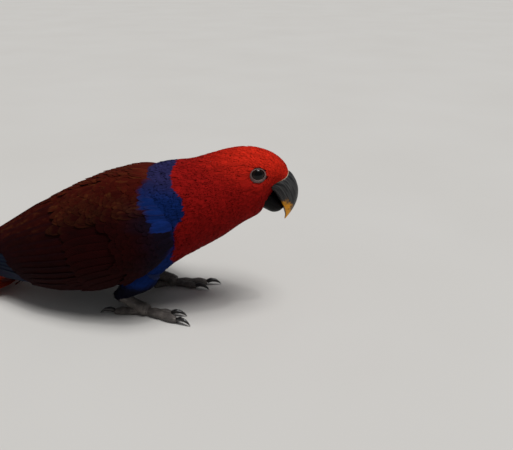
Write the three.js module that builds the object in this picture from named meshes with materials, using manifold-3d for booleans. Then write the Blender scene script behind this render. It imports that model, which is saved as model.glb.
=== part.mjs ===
// Female eclectus parrot, life size, leaning forward on both feet with its tail laid on the ground.
// Millimetres: +X points to the bill, +Y to the bird's left and +Z up, with the soles at Z = 0.
import * as THREE from "three";
import { mergeVertices } from "three/addons/utils/BufferGeometryUtils.js";
import Module from "manifold-3d";

const wasm = await Module();
wasm.setup();

// Driving dimensions
const GAP = 0.3; // clearance between neighbouring pieces
const ORIGIN = { x: -43.7, y: 0 }; // middle of the length and width, which becomes the frame's origin
const SIDES = { left: 1, right: -1 };
const HEAD_TURN = THREE.MathUtils.degToRad(7); // the face looks a little to the bird's left
const TURN_FROM_X = 28; // where the neck starts to turn
const TURN_OVER = 46; // length of neck that takes up the turn
const BODY_RINGS = 31;
const BODY_SIDES = 26;
const NECK_START = 0.47; // share of the body's length where torso ends and neck starts
const HEAD_START = 0.69; // and where neck ends and head starts

// Each row of the body: top x, top z, bottom x, bottom z, half width, fullness above the middle
const BODY = [
  [-113, 46, -103, 29, 9, 0],
  [-101, 62, -89, 23, 18, 0],
  [-81, 79, -68, 20, 27, -0.05],
  [-57, 93.5, -44, 19, 33.5, -0.08],
  [-33, 105, -19, 18.5, 37, -0.08],
  [-8, 112.5, 4, 24, 38.5, -0.06],
  [14, 118.5, 25, 38, 37, -0.05],
  [34, 123, 45, 52, 33.5, -0.05],
  [51, 128, 62, 64, 29.5, -0.06],
  [66, 133.5, 76, 75, 26.5, -0.08],
  [79, 136.5, 87, 83, 23.5, -0.1],
  [90, 135, 94, 88.5, 21, -0.1],
  [100, 130, 98, 93, 17.5, -0.08],
  [107, 124.5, 100, 98, 14, -0.05],
  [110.5, 120, 102, 104, 9, 0],
];

// Interpolation and vector helpers
const vec = (x, y, z) => new THREE.Vector3(x, y, z);
const lerp = THREE.MathUtils.lerp;
const smooth = (x) => THREE.MathUtils.smoothstep(x, 0, 1);

/** A smooth row between the rows of a table, at a share t of its length. */
function splineRow(rows, t) {
  const last = rows.length - 1;
  const x = THREE.MathUtils.clamp(t, 0, 1) * last;
  const i = Math.min(Math.floor(x), last - 1);
  const f = x - i;
  const [a, b, c, d] = [i - 1, i, i + 1, i + 2].map(
    (k) => rows[THREE.MathUtils.clamp(k, 0, last)],
  );
  return b.map((_, k) => {
    const slopeIn = (c[k] - a[k]) / 2;
    const slopeOut = (d[k] - b[k]) / 2;
    const f2 = f * f;
    const f3 = f2 * f;
    return (
      (2 * f3 - 3 * f2 + 1) * b[k] +
      (f3 - 2 * f2 + f) * slopeIn +
      (3 * f2 - 2 * f3) * c[k] +
      (f3 - f2) * slopeOut
    );
  });
}

/** Turns a point of the straight bird with its neck and head. */
function turned(p) {
  const share = smooth((p.x - TURN_FROM_X) / TURN_OVER);
  const angle = HEAD_TURN * share;
  const pivot = vec(TURN_FROM_X + TURN_OVER / 2, 0, 0);
  return p.clone().sub(pivot).applyAxisAngle(vec(0, 0, 1), angle).add(pivot);
}

// Solids
/** A closed solid from points and triangles, with its faces pointing out. */
function solidFrom(points, triangles) {
  const geometry = new THREE.BufferGeometry().setFromPoints(points);
  geometry.setIndex(triangles.flat());
  return solidOf(geometry);
}

/** A closed three.js geometry as a solid that can be joined and cut. */
function solidOf(geometry) {
  const bare = geometry.clone();
  bare.deleteAttribute("normal");
  bare.deleteAttribute("uv");
  const merged = mergeVertices(bare, 1e-4);
  const position = merged.getAttribute("position");
  const index = new Uint32Array(merged.index.array);
  const at = (i) => new THREE.Vector3().fromBufferAttribute(position, index[i]);
  let volume = 0;
  for (let i = 0; i < index.length; i += 3) volume += at(i).dot(at(i + 1).cross(at(i + 2)));
  if (volume < 0)
    for (let i = 0; i < index.length; i += 3)
      [index[i + 1], index[i + 2]] = [index[i + 2], index[i + 1]];
  return new wasm.Manifold(
    new wasm.Mesh({ numProp: 3, vertProperties: position.array, triVerts: index }),
  );
}

const joined = (solids) => wasm.Manifold.union(solids);

/** The largest closed surface of a solid. */
function largest(solid) {
  const pieces = solid.decompose();
  return pieces.reduce((a, b) => (b.volume() > a.volume() ? b : a));
}

/** Joins rings of points into one closed skin, with a pole at each end. */
function loft(rings) {
  const sides = rings[0].length;
  const points = rings.flat();
  const triangles = [];
  rings.slice(1).forEach((_, i) => {
    for (let j = 0; j < sides; j++) {
      const k = (j + 1) % sides;
      const [a, b, c, d] = [i * sides + j, i * sides + k, (i + 1) * sides + k, (i + 1) * sides + j];
      triangles.push([a, b, c], [a, c, d]);
    }
  });
  for (const [ring, start, flip] of [
    [rings[0], 0, true],
    [rings.at(-1), points.length - sides, false],
  ]) {
    const pole = points.length;
    points.push(ring.reduce((sum, p) => sum.add(p), vec(0, 0, 0)).divideScalar(sides));
    for (let j = 0; j < sides; j++) {
      const k = (j + 1) % sides;
      triangles.push(flip ? [pole, start + k, start + j] : [pole, start + j, start + k]);
    }
  }
  return solidFrom(points, triangles);
}

/** A closed sheet between two grids of points, split into triangles alike on both faces. */
function sheet(upper, lower) {
  const rows = upper.length;
  const columns = upper[0].length;
  const points = [...upper.flat(), ...lower.flat()];
  const up = (i, j) => i * columns + j;
  const down = (i, j) => rows * columns + up(i, j);
  const triangles = [];
  for (let i = 0; i < rows - 1; i++)
    for (let j = 0; j < columns - 1; j++)
      for (const [at, flip] of [
        [up, false],
        [down, true],
      ]) {
        const [a, b, c, d] = [at(i, j), at(i + 1, j), at(i + 1, j + 1), at(i, j + 1)];
        triangles.push(...(flip ? [[a, c, b], [a, d, c]] : [[a, b, c], [a, c, d]]));
      }
  const wall = (a, b) => {
    const [[ai, aj], [bi, bj]] = [a, b];
    triangles.push([up(ai, aj), down(bi, bj), up(bi, bj)], [up(ai, aj), down(ai, aj), down(bi, bj)]);
  };
  for (let i = 0; i < rows - 1; i++) {
    wall([i, 0], [i + 1, 0]);
    wall([i + 1, columns - 1], [i, columns - 1]);
  }
  for (let j = 0; j < columns - 1; j++) {
    wall([0, j + 1], [0, j]);
    wall([rows - 1, j], [rows - 1, j + 1]);
  }
  return solidFrom(points, triangles);
}

// Outlines of a vane: share of its length, share of its half width
const ROUND_TIP = [[0, 0.45], [0.5, 1], [0.85, 0.86], [1, 0.32]];
const LONG_TIP = [[0, 0.45], [0.5, 1], [0.85, 0.84], [1, 0.26]];
const TAIL_TIP = [[0, 0.6], [0.22, 0.75], [0.4, 0.88], [0.62, 1], [0.92, 0.9], [1, 0.34]];

/** A thin tapered feather vane along a path, which gives a point and the way out at each share. */
function vane(path, { halfWidth, outline = ROUND_TIP, roll = 0, thickness = 0.5 }) {
  const upper = [];
  const lower = [];
  for (const [t, share] of outline) {
    const { p, n } = path(t);
    const along = path(Math.min(t + 0.02, 1)).p.sub(path(Math.max(t - 0.02, 0)).p);
    const across = n.clone().cross(along).normalize().multiplyScalar(halfWidth * share);
    const tilt = n.clone().multiplyScalar(roll * share);
    const half = n.clone().multiplyScalar(thickness / 2);
    const edges = [-1, 1].map((s) => p.clone().addScaledVector(across, s).addScaledVector(tilt, s));
    upper.push(edges.map((q) => onFloor(q.clone().add(half), thickness)));
    lower.push(edges.map((q) => onFloor(q.clone().sub(half), 0)));
  }
  return sheet(upper, lower);
}

/** Keeps a point at or above a height over the floor. */
function onFloor(p, height) {
  p.z = Math.max(p.z, height);
  return p;
}

/** A repeatable stream of numbers from 0 to 1. */
function randomFrom(seed) {
  let state = seed;
  return () => {
    state = (state * 1664525 + 1013904223) % 4294967296;
    return state / 4294967296;
  };
}

// Body
/** A point of the body's surface at a share t of its length and an angle from the top. */
function bodyPoint(t, angle, grow = 0) {
  const [topX, topZ, bottomX, bottomZ, halfWidth, fullness] = splineRow(BODY, t);
  const middle = vec((topX + bottomX) / 2, 0, (topZ + bottomZ) / 2);
  const up = vec((topX - bottomX) / 2, 0, (topZ - bottomZ) / 2);
  const rise = Math.cos(angle);
  const aside = Math.sin(angle);
  const squared = (x) => Math.sign(x) * Math.abs(x) ** 0.92;
  const p = middle
    .addScaledVector(up, squared(rise) * (1 + grow / up.length()))
    .add(vec(0, squared(aside) * (halfWidth * (1 + fullness * rise) + grow), 0));
  return turned(p);
}

function bodySolid(grow = 0) {
  const rings = [];
  for (let i = 0; i <= BODY_RINGS; i++) {
    const ring = [];
    for (let j = 0; j < BODY_SIDES; j++)
      ring.push(bodyPoint(i / BODY_RINGS, (2 * Math.PI * j) / BODY_SIDES, grow));
    rings.push(ring);
  }
  return loft(rings);
}

/** The plane across the body at a share t of its length, facing the bill. */
function bodyCut(t) {
  const [topX, topZ, bottomX, bottomZ] = splineRow(BODY, t);
  const up = vec(topX - bottomX, 0, topZ - bottomZ).normalize();
  const normal = vec(up.z, 0, -up.x);
  const middle = turned(vec((topX + bottomX) / 2, 0, (topZ + bottomZ) / 2));
  const turnShare = smooth((middle.x - TURN_FROM_X) / TURN_OVER);
  normal.applyAxisAngle(vec(0, 0, 1), HEAD_TURN * turnShare);
  return { normal: normal.toArray(), offset: normal.dot(middle) };
}

const ahead = (solid, cut) => solid.trimByPlane(cut.normal, cut.offset + GAP / 2);
const behind = (solid, cut) =>
  solid.trimByPlane(cut.normal.map((x) => -x), -(cut.offset - GAP / 2));

// Bill: each row is upper edge x, upper edge z, lower edge x, lower edge z, half width
const UPPER_BILL = [
  [103, 121, 96, 109, 8.5],
  [111.5, 121, 99.5, 105.5, 9.6],
  [116.3, 115.5, 102.8, 99.8, 9.4],
  [118.8, 108.5, 105, 95.6, 8.6],
  [119, 101.5, 106.8, 92, 7.3],
  [117.2, 94.5, 108, 88.8, 5.6],
  [113.6, 87.6, 108.8, 85.2, 3.4],
  [109.6, 82, 108.6, 81.8, 0.8],
];
const LOWER_BILL = [
  [91, 105, 87.5, 93, 8.6],
  [97, 103.5, 93, 89.6, 9],
  [101.5, 98.8, 98.5, 87, 8.4],
  [104.6, 94.6, 103.4, 87.6, 6.6],
  [106.4, 91.6, 106.2, 90.2, 3.2],
];
const BILL_SIDES = 12;
const RIDGE_TAPER = 0.28;
const NOSTRIL = { along: 0.24, angle: 0.5, radius: 1.1 };

/** A point of a half of the bill, narrow at its ridge and wide at its cutting edge. */
function billPoint(rows, t, angle, ridgeUp, grow = 0) {
  const [upX, upZ, lowX, lowZ, halfWidth] = splineRow(rows, t);
  const middle = vec((upX + lowX) / 2, 0, (upZ + lowZ) / 2);
  const up = vec((upX - lowX) / 2, 0, (upZ - lowZ) / 2);
  const rise = Math.cos(angle);
  const taper = 1 - RIDGE_TAPER * rise * ridgeUp;
  return turned(
    middle
      .addScaledVector(up, rise * (1 + grow / up.length()))
      .add(vec(0, Math.sin(angle) * (halfWidth * taper + grow), 0)),
  );
}

function billSolid(rows, ringCount, ridgeUp, grow = 0) {
  const rings = Array.from({ length: ringCount + 1 }, (_, i) =>
    Array.from({ length: BILL_SIDES }, (_, j) =>
      billPoint(rows, i / ringCount, (2 * Math.PI * j) / BILL_SIDES, ridgeUp, grow),
    ),
  );
  return loft(rings);
}

const nostrils = () =>
  joined(
    [-1, 1].map((side) => {
      const p = billPoint(UPPER_BILL, NOSTRIL.along, side * NOSTRIL.angle, 1);
      return solidOf(new THREE.OctahedronGeometry(NOSTRIL.radius, 1).translate(p.x, p.y, p.z));
    }),
  );

// Eyes
const EYE = { x: 86.8, y: 14.4, z: 121.6, radius: 6.4 };
const EYE_LOOK = vec(0.2, 1, 0.16).normalize(); // where the left eye faces
const LID = { ring: 5.5, tube: 1, out: 4.9 };

/** Moves a geometry that faces +Z so that it faces out of the head at the eye. */
function atEye(geometry, side, out) {
  const look = vec(EYE_LOOK.x, EYE_LOOK.y * side, EYE_LOOK.z);
  const facing = new THREE.Quaternion().setFromUnitVectors(vec(0, 0, 1), look);
  const centre = vec(EYE.x, EYE.y * side, EYE.z).addScaledVector(look, out);
  geometry.applyQuaternion(facing).translate(centre.x, centre.y, centre.z);
  const position = geometry.getAttribute("position");
  for (let i = 0; i < position.count; i++) {
    const p = turned(new THREE.Vector3().fromBufferAttribute(position, i));
    position.setXYZ(i, p.x, p.y, p.z);
  }
  return solidOf(geometry);
}

const eyeSolid = (side, grow = 0) =>
  atEye(new THREE.SphereGeometry(EYE.radius + grow, 12, 8), side, 0);
const lidSolid = (side) =>
  atEye(new THREE.TorusGeometry(LID.ring, LID.tube, 5, 16), side, LID.out);

// Wings: guide curves along the folded left wing, from its bend to its tip
const WING_LOW = [
  [24, 33, 60], [4, 37.5, 42], [-28, 38, 30], [-62, 35, 26], [-95, 29, 25], [-130, 21, 26], [-170, 12, 31],
];
const WING_MID = [
  [30, 41, 81], [12, 46.5, 77], [-26, 48, 68], [-61, 43, 59], [-95, 33, 49], [-131, 21, 41], [-171, 12.5, 36],
];
const WING_TOP = [
  [17, 24, 113], [0, 17, 116], [-31, 10, 111.5], [-62, 5.5, 99.5], [-95, 3.5, 81], [-131, 3, 57.5], [-172, 4, 41],
];
const WING_ROWS = 9;
const WING_COLUMNS = 6;
const CORE_END = { low: 0.84, top: 0.7 }; // shares of the wing's length that are solid under its vanes

// Rows of wing feathers, each from its lowest feather to its highest: roots and tips as shares
// of the wing's length and height, half width, and how far the tips stand out
const WING_FEATHERS = {
  primaries: { count: 5, root: [[0.45, 0.16], [0.5, 0.72]], tip: [[1, 0.22], [0.82, 0.8]], half: 7, lift: -0.6, outline: LONG_TIP },
  secondaries: { count: 7, root: [[0.3, 0.1], [0.38, 0.95]], tip: [[0.58, 0.08], [0.84, 0.93]], half: 8, lift: 0 },
  primaryCoverts: { count: 2, root: [[0.16, 0.06], [0.22, 0.2]], tip: [[0.42, 0.06], [0.48, 0.2]], half: 6, lift: 0 },
  greaterCoverts: { count: 6, root: [[0.18, 0.2], [0.3, 0.93]], tip: [[0.39, 0.22], [0.52, 0.92]], half: 8.4, lift: 0.2 },
  medianCoverts: { count: 5, root: [[0.1, 0.14], [0.18, 0.88]], tip: [[0.27, 0.14], [0.36, 0.86]], half: 9.4, lift: 0.3 },
  lesserCoverts: { count: 5, root: [[0.01, 0.16], [0.04, 0.84]], tip: [[0.15, 0.14], [0.22, 0.82]], half: 8.8, lift: 0.4 },
  scapulars: { count: 4, root: [[0.02, 0.88], [0.34, 0.97]], tip: [[0.26, 0.8], [0.62, 0.92]], half: 8.6, lift: 1 },
};
const VANE_ROOT_DEPTH = 3.4;
const CORE_DEPTH = 1.8; // how far the solid inside lies under the outer surface
const VANE_ROLL = -1; // the lower edge of each vane stands over the next one down
const WING_SEEDS = { 1: 11, [-1]: 29 };
const VARIATION = 0.05; // how much the lengths and widths of like feathers differ

/** A point over the left wing's surface, at shares of its length and height, lifted outwards. */
function wingPoint(u, v, lift = 0) {
  const flat = (a, b) => {
    const [low, mid, top] = [WING_LOW, WING_MID, WING_TOP].map((rows) => splineRow(rows, a));
    const shares = [(1 - b) * (1 - 2 * b), 4 * b * (1 - b), b * (2 * b - 1)];
    return vec(...[0, 1, 2].map((k) => low[k] * shares[0] + mid[k] * shares[1] + top[k] * shares[2]));
  };
  const step = 0.01;
  const du = flat(Math.min(u + step, 1), v).sub(flat(Math.min(Math.max(u - step, 0), 1 - step), v));
  const dv = flat(u, v + step).sub(flat(u, v - step));
  const n = du.cross(dv).normalize();
  return { p: flat(u, v).addScaledVector(n, lift), n };
}

/** The inside of the left wing, under its feathers. */
function wingCore(grow = 0) {
  const outer = [];
  const inner = [];
  for (let i = 0; i < WING_ROWS; i++) {
    const share = i / (WING_ROWS - 1);
    const depth = lerp(11, 2.2, smooth(share * 1.15)) * smooth(share * 6 + 0.35);
    const cells = Array.from({ length: WING_COLUMNS }, (_, j) => j / (WING_COLUMNS - 1));
    const along = (v) => share * lerp(CORE_END.low, CORE_END.top, v);
    outer.push(cells.map((v) => wingPoint(along(v), v, grow - CORE_DEPTH).p));
    inner.push(cells.map((v) => wingPoint(along(v), v, -depth - grow - CORE_DEPTH).p));
  }
  return sheet(outer, inner);
}

/** One row of a wing's feathers. */
function featherRow({ count, root, tip, half, lift, outline }, random) {
  const between = (ends, s, k) => lerp(ends[0][k], ends[1][k], s);
  const varied = () => 1 + VARIATION * (random() - 0.5);
  return Array.from({ length: count }, (_, i) => {
    const s = i / (count - 1);
    const length = varied();
    const path = (t) => {
      const u = lerp(between(root, s, 0), between(tip, s, 0), t * length);
      const v = lerp(between(root, s, 1), between(tip, s, 1), t);
      return wingPoint(u, v, lerp(-VANE_ROOT_DEPTH, lift, smooth(t * 1.5)));
    };
    return vane(path, { halfWidth: half * varied(), outline, roll: VANE_ROLL });
  });
}

const mirrored = (solid, side) => (side > 0 ? solid : solid.mirror([0, 1, 0]));

function wingSolid(side, roomyBody) {
  const random = randomFrom(WING_SEEDS[side]);
  const vanes = Object.values(WING_FEATHERS).flatMap((row) => featherRow(row, random));
  const half = joined([wingCore(), ...vanes]).trimByPlane([0, 1, 0], GAP / 2);
  return mirrored(half, side).subtract(roomyBody);
}

// Tail: the line of its outermost feathers, and its half width along it
const TAIL_LINE = [
  [-98, 34, 9], [-112, 23, 11.5], [-127, 12.5, 14], [-145, 5.4, 16.5], [-165, 1.2, 19], [-186, 0.25, 20.5], [-206, 0.2, 21],
];
const TAIL = { pairs: 6, half: 6.2, layer: 0.62, droop: 1.6, shorter: 0.012 };
const TAIL_CORE = { end: 0.5, rows: 7, over: [5.2, 2.2], under: [4, 0.6] };
const TAIL_COVERTS = [
  { count: 5, root: 0.02, tip: 0.36, reach: 0.72, half: 5.6, lift: 5.4 },
  { count: 4, root: 0, tip: 0.2, reach: 0.6, half: 6, lift: 6.6 },
];
const UNDERTAIL_COVERTS = { count: 4, root: 0, tip: 0.3, reach: 0.6, half: 5.6, lift: -3.6 };
const TAIL_SEED = 47;

/** A point of the tail at a share t of its length and s of its half width, lifted off its line. */
function tailPoint(t, s, lift = 0) {
  const [x, z, half] = splineRow(TAIL_LINE, t);
  const ahead = splineRow(TAIL_LINE, t + 0.02);
  const behind = splineRow(TAIL_LINE, t - 0.02);
  const along = vec(ahead[0] - behind[0], 0, ahead[1] - behind[1]).normalize();
  const n = vec(along.z, 0, -along.x);
  const p = vec(x, s * half, z).addScaledVector(n, lift - TAIL.droop * s * s * (1 - t));
  return { p, n };
}

function tailSolid() {
  const random = randomFrom(TAIL_SEED);
  const varied = () => 1 + VARIATION * (random() - 0.5);
  const cells = [-1, -0.6, 0, 0.6, 1];
  const coreFace = ([start, end], sign) =>
    Array.from({ length: TAIL_CORE.rows }, (_, i) => {
      const share = i / (TAIL_CORE.rows - 1);
      const lift = sign * lerp(start, end, share);
      return cells.map((s) => onFloor(tailPoint(share * TAIL_CORE.end, s, lift).p, 0));
    });
  const core = sheet(coreFace(TAIL_CORE.over, 1), coreFace(TAIL_CORE.under, -1));
  const rectrices = Array.from({ length: 2 * TAIL.pairs }, (_, i) => {
    const place = i - TAIL.pairs + 0.5;
    const rank = Math.abs(place) - 0.5;
    const s = place / (TAIL.pairs - 0.5);
    const lift = (TAIL.pairs - 1 - rank) * TAIL.layer + (place > 0 ? TAIL.layer / 3 : 0);
    const length = 1 - TAIL.shorter * rank * varied();
    return vane((t) => tailPoint(lerp(0.06, length, t), s, lift), {
      halfWidth: TAIL.half * varied(),
      outline: TAIL_TIP,
    });
  });
  const coverts = [...TAIL_COVERTS, UNDERTAIL_COVERTS].flatMap(({ count, root, tip, reach, half, lift }) =>
    Array.from({ length: count }, (_, i) => {
      const s = reach * ((2 * i) / (count - 1) - 1);
      const end = tip * varied();
      const out = (t) => lerp(0.4, 1, smooth(t * 1.5)) * lift * (1 - 0.35 * t);
      return vane((t) => tailPoint(Math.max(lerp(root, end, t), 0), s, out(t)), { halfWidth: half * varied() });
    }),
  );
  return joined([core, ...rectrices, ...coverts]);
}

// Legs
const LEGS = {
  right: { foot: [-3, -25], yaw: -7 },
  left: { foot: [7, 24], yaw: -2 },
};
const HEEL = { back: 21, z: 15 }; // the heel joint, behind the foot
const KNEE = { ahead: 12, z: 40, inward: 3 };
const TOES = [
  // name, degrees out from straight ahead, length, radius
  { name: "inner_front", out: -8, length: 23, radius: 3.1 },
  { name: "outer_front", out: 10, length: 31, radius: 3.4 },
  { name: "outer_back", out: 166, length: 25, radius: 3.3 },
  { name: "inner_back", out: -150, length: 17, radius: 3 },
];
const CLAW = { length: 12, radius: 1.9 };
const PAD = { radius: 5.8, height: 8.4 };
const TOE_SIDES = 8;

/** A round tube along points with a radius at each, its underside laid flat on the ground. */
function limb(points, radii, sides = TOE_SIDES) {
  const rings = points.map((p, i) => {
    const next = points[Math.min(i + 1, points.length - 1)];
    const last = points[Math.max(i - 1, 0)];
    const along = next.clone().sub(last).normalize();
    const across = vec(0, 0, 1).cross(along).normalize();
    const up = along.clone().cross(across);
    return Array.from({ length: sides }, (_, j) => {
      const angle = (2 * Math.PI * (j + 0.5)) / sides;
      const q = p
        .clone()
        .addScaledVector(across, radii[i] * Math.cos(angle))
        .addScaledVector(up, radii[i] * Math.sin(angle));
      q.z = Math.max(q.z, 0);
      return q;
    });
  });
  return loft(rings);
}

/** A leg's feathered thigh, from the belly to the heel. */
function thighSolid(side, leg, grow = 0) {
  const heel = heelOf(leg);
  const knee = vec(leg.foot[0] + KNEE.ahead, leg.foot[1] - side * KNEE.inward, KNEE.z);
  const shares = [0, 0.25, 0.5, 0.75, 0.92, 1.03];
  const radii = [11, 13.5, 12.5, 9.5, 6.6, 5.2].map((r) => r + grow);
  return limb(shares.map((t) => knee.clone().lerp(heel, t)), radii, 12);
}

const heelOf = (leg) => {
  const turn = THREE.MathUtils.degToRad(leg.yaw);
  return vec(leg.foot[0] - HEEL.back * Math.cos(turn), leg.foot[1] - HEEL.back * Math.sin(turn), HEEL.z);
};

/** The scaly lower leg and the ball of the foot. */
function tarsusSolid(leg, grow = 0) {
  const heel = heelOf(leg);
  const foot = vec(leg.foot[0], leg.foot[1], PAD.height / 2);
  const shares = [0.1, 0.3, 0.55, 0.8, 1, 1.18];
  const radii = [4.6, 4.3, 4.2, 5, PAD.radius, 4.4].map((r) => r + grow);
  const points = shares.map((t) => {
    const p = heel.clone().lerp(foot, t);
    p.z = Math.max(p.z, foot.z);
    return p;
  });
  return limb(points, radii, 10);
}

/** The line of a toe and of its claw, from the ball of the foot. */
function toeLine(side, leg, toe) {
  const turn = THREE.MathUtils.degToRad(leg.yaw - side * -toe.out);
  const along = vec(Math.cos(turn), Math.sin(turn), 0);
  const start = vec(leg.foot[0], leg.foot[1], 0);
  return { along, at: (s, z) => start.clone().addScaledVector(along, s).add(vec(0, 0, z)) };
}

function toeSolid(side, leg, toe, grow = 0) {
  const { at } = toeLine(side, leg, toe);
  const bulges = [[0.1, 0.9], [0.38, 1.06], [0.55, 0.9], [0.76, 1.04], [0.9, 0.86], [1, 0.6]];
  const radii = bulges.map(([, share]) => toe.radius * share + grow);
  return limb(bulges.map(([t, share]) => at(t * toe.length, toe.radius * share * 0.86)), radii);
}

function clawSolid(side, leg, toe) {
  const { at } = toeLine(side, leg, toe);
  const start = toe.length + GAP;
  const bend = [[0, 3.2, 1], [0.25, 4.7, 1], [0.6, 4.3, 0.74], [0.85, 2.5, 0.42], [1, 0.7, 0.12]];
  return limb(
    bend.map(([t, z]) => at(start + t * CLAW.length, z)),
    bend.map(([, , share]) => CLAW.radius * share),
    6,
  );
}

// Assembly
const COLOURS = {
  red: 0xb01018,
  maroon: 0x4a0c12,
  blue: 0x152a8c,
  orange: 0xc8401a,
  bill: 0x26262a,
  eye: 0x0c0a0a,
  skin: 0x4c4a4c,
  claw: 0x1c1b1d,
};
const materials = Object.fromEntries(
  Object.entries(COLOURS).map(([name, color]) => [
    name,
    new THREE.MeshStandardMaterial({ name, color, roughness: name === "eye" ? 0.1 : 0.7, metalness: 0 }),
  ]),
);

const parrot = new THREE.Group();
parrot.position.set(-ORIGIN.x, -ORIGIN.y, 0);

function add(name, solid, material) {
  const { numProp, vertProperties, triVerts } = largest(solid).getMesh();
  const points = [];
  for (let i = 0; i < vertProperties.length; i += numProp)
    points.push(vec(vertProperties[i], vertProperties[i + 1], vertProperties[i + 2]));
  const geometry = new THREE.BufferGeometry().setFromPoints(points);
  geometry.setIndex(Array.from(triVerts));
  geometry.computeVertexNormals();
  const mesh = new THREE.Mesh(geometry, materials[material]);
  mesh.name = name;
  parrot.add(mesh);
}

const body = bodySolid();
const roomyBody = bodySolid(GAP);
const neckCut = bodyCut(NECK_START);
const headCut = bodyCut(HEAD_START);
const upperBill = billSolid(UPPER_BILL, 11, 1);
const roomyUpperBill = billSolid(UPPER_BILL, 11, 1, GAP);
const lowerBill = billSolid(LOWER_BILL, 7, -1).subtract(roomyUpperBill);
const roomyLowerBill = billSolid(LOWER_BILL, 7, -1, GAP);
const sides = Object.values(SIDES);
const lids = sides.map((side) => lidSolid(side));
const eyePockets = sides.map((side) => eyeSolid(side, GAP));

add("torso", behind(body, neckCut), "maroon");
add("neck", behind(ahead(body, neckCut), headCut), "red");
add(
  "head",
  joined([ahead(body, headCut), ...lids]).subtract(
    joined([roomyUpperBill, roomyLowerBill, ...eyePockets]),
  ),
  "red",
);
add("bill_upper", upperBill.subtract(nostrils()), "bill");
add("bill_lower", lowerBill, "bill");
add("tail", tailSolid().subtract(roomyBody), "orange");

for (const [sideName, side] of Object.entries(SIDES)) {
  const leg = LEGS[sideName];
  add(`eye_${sideName}`, eyeSolid(side), "eye");
  add(`wing_${sideName}`, wingSolid(side, roomyBody), "maroon");
  const roomyWing = mirrored(wingCore(GAP), side);
  const thigh = thighSolid(side, leg).subtract(roomyBody).subtract(roomyWing);
  add(`thigh_${sideName}`, thigh, "blue");
  const tarsus = tarsusSolid(leg).subtract(thighSolid(side, leg, GAP));
  add(`tarsus_${sideName}`, tarsus, "skin");
  const taken = [tarsusSolid(leg, GAP), thighSolid(side, leg, GAP)];
  for (const toe of TOES) {
    add(`toe_${sideName}_${toe.name}`, toeSolid(side, leg, toe).subtract(joined(taken)), "skin");
    const roomyToe = toeSolid(side, leg, toe, GAP);
    add(`claw_${sideName}_${toe.name}`, clawSolid(side, leg, toe).subtract(roomyToe), "claw");
    taken.push(roomyToe);
  }
}

export default parrot;
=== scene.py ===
import logging
import math
from collections.abc import Callable, Sequence
from dataclasses import dataclass, field
from enum import Enum

import bpy
import numpy as np
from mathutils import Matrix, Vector
from mathutils.bvhtree import BVHTree


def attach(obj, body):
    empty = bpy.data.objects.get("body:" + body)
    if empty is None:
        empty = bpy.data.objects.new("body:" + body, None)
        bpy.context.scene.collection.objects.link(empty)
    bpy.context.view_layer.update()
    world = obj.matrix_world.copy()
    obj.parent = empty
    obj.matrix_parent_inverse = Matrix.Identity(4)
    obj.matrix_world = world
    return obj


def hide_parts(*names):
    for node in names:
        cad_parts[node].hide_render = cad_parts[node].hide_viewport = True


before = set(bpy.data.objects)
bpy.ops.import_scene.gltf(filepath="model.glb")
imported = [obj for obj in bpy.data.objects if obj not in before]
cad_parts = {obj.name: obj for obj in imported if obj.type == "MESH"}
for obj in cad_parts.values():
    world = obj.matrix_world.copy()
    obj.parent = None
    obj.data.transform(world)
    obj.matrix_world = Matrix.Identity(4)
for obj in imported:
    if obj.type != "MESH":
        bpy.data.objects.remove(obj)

log = logging.getLogger("parrot")

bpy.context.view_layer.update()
BODY_NAME = "root"
MM = 0.001
MIDDLE_X = 43.7  # millimetres from the leg's upright to the middle of the bird's length
SIDES = {"left": 1.0, "right": -1.0}
BAKE_MAP = "OFBake"
BAKE_PATCH = 0.003
VANE_MAP = "Vane"
SEEN_PLACE = "seen_place"
SEEN_SHARE = 0.75  # where along a feather its open part starts, whose place gives its colour
SEEN_OWN = 0.45  # how much of the colour's place is each point's own
RIM_ANGLE = math.radians(75)  # a vane's edge is sharp where its faces meet at more
VARIATION = "variation"
PAST_FEATHERS = "past_feathers"
BLACK = (0.0, 0.0, 0.0, 1.0)
UP = np.array([0.0, 0.0, 1.0])
FULL_TURN = (0.0, 2 * math.pi)
SOLE_HEIGHT = 0.02  # how far the flat undersides of the feet lie above the floor

Array = np.ndarray
Piece = bpy.types.Object


def ahead(rows: Sequence[Sequence[float]], columns: Sequence[int] = (0,)) -> Array:
    """Moves rows of millimetres from the leg's upright to the middle of the bird."""
    table = np.array(rows, float)
    table[:, list(columns)] += MIDDLE_X
    return table


# The body: top x, top z, bottom x, bottom z, half width, fullness above the middle
BODY_ROWS = ahead(
    [
        [-113, 46, -103, 29, 9, 0],
        [-101, 62, -89, 23, 18, 0],
        [-81, 79, -68, 20, 27, -0.05],
        [-57, 93.5, -44, 19, 33.5, -0.08],
        [-33, 105, -19, 18.5, 37, -0.08],
        [-8, 116.5, 3, 26, 38.5, -0.06],
        [14, 123.6, 23, 43, 36.6, -0.05],
        [34, 126.8, 43, 56.5, 33, -0.05],
        [51, 132.2, 61, 68, 29.2, -0.06],
        [66, 136.4, 75, 78.5, 26.4, -0.08],
        [79, 137.9, 87, 85.3, 23.5, -0.1],
        [90, 136.5, 91.5, 89.5, 21, -0.1],
        [100, 132.5, 93.5, 92.6, 17.5, -0.08],
        [107.6, 125.9, 94.5, 97, 14, -0.05],
        [112.2, 117.6, 97, 102, 9.5, 0],
    ],
    (0, 2),
)
HEAD_TURN = math.radians(7)
TURN_START = 28 + MIDDLE_X
TURN_OVER = 46.0

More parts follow.
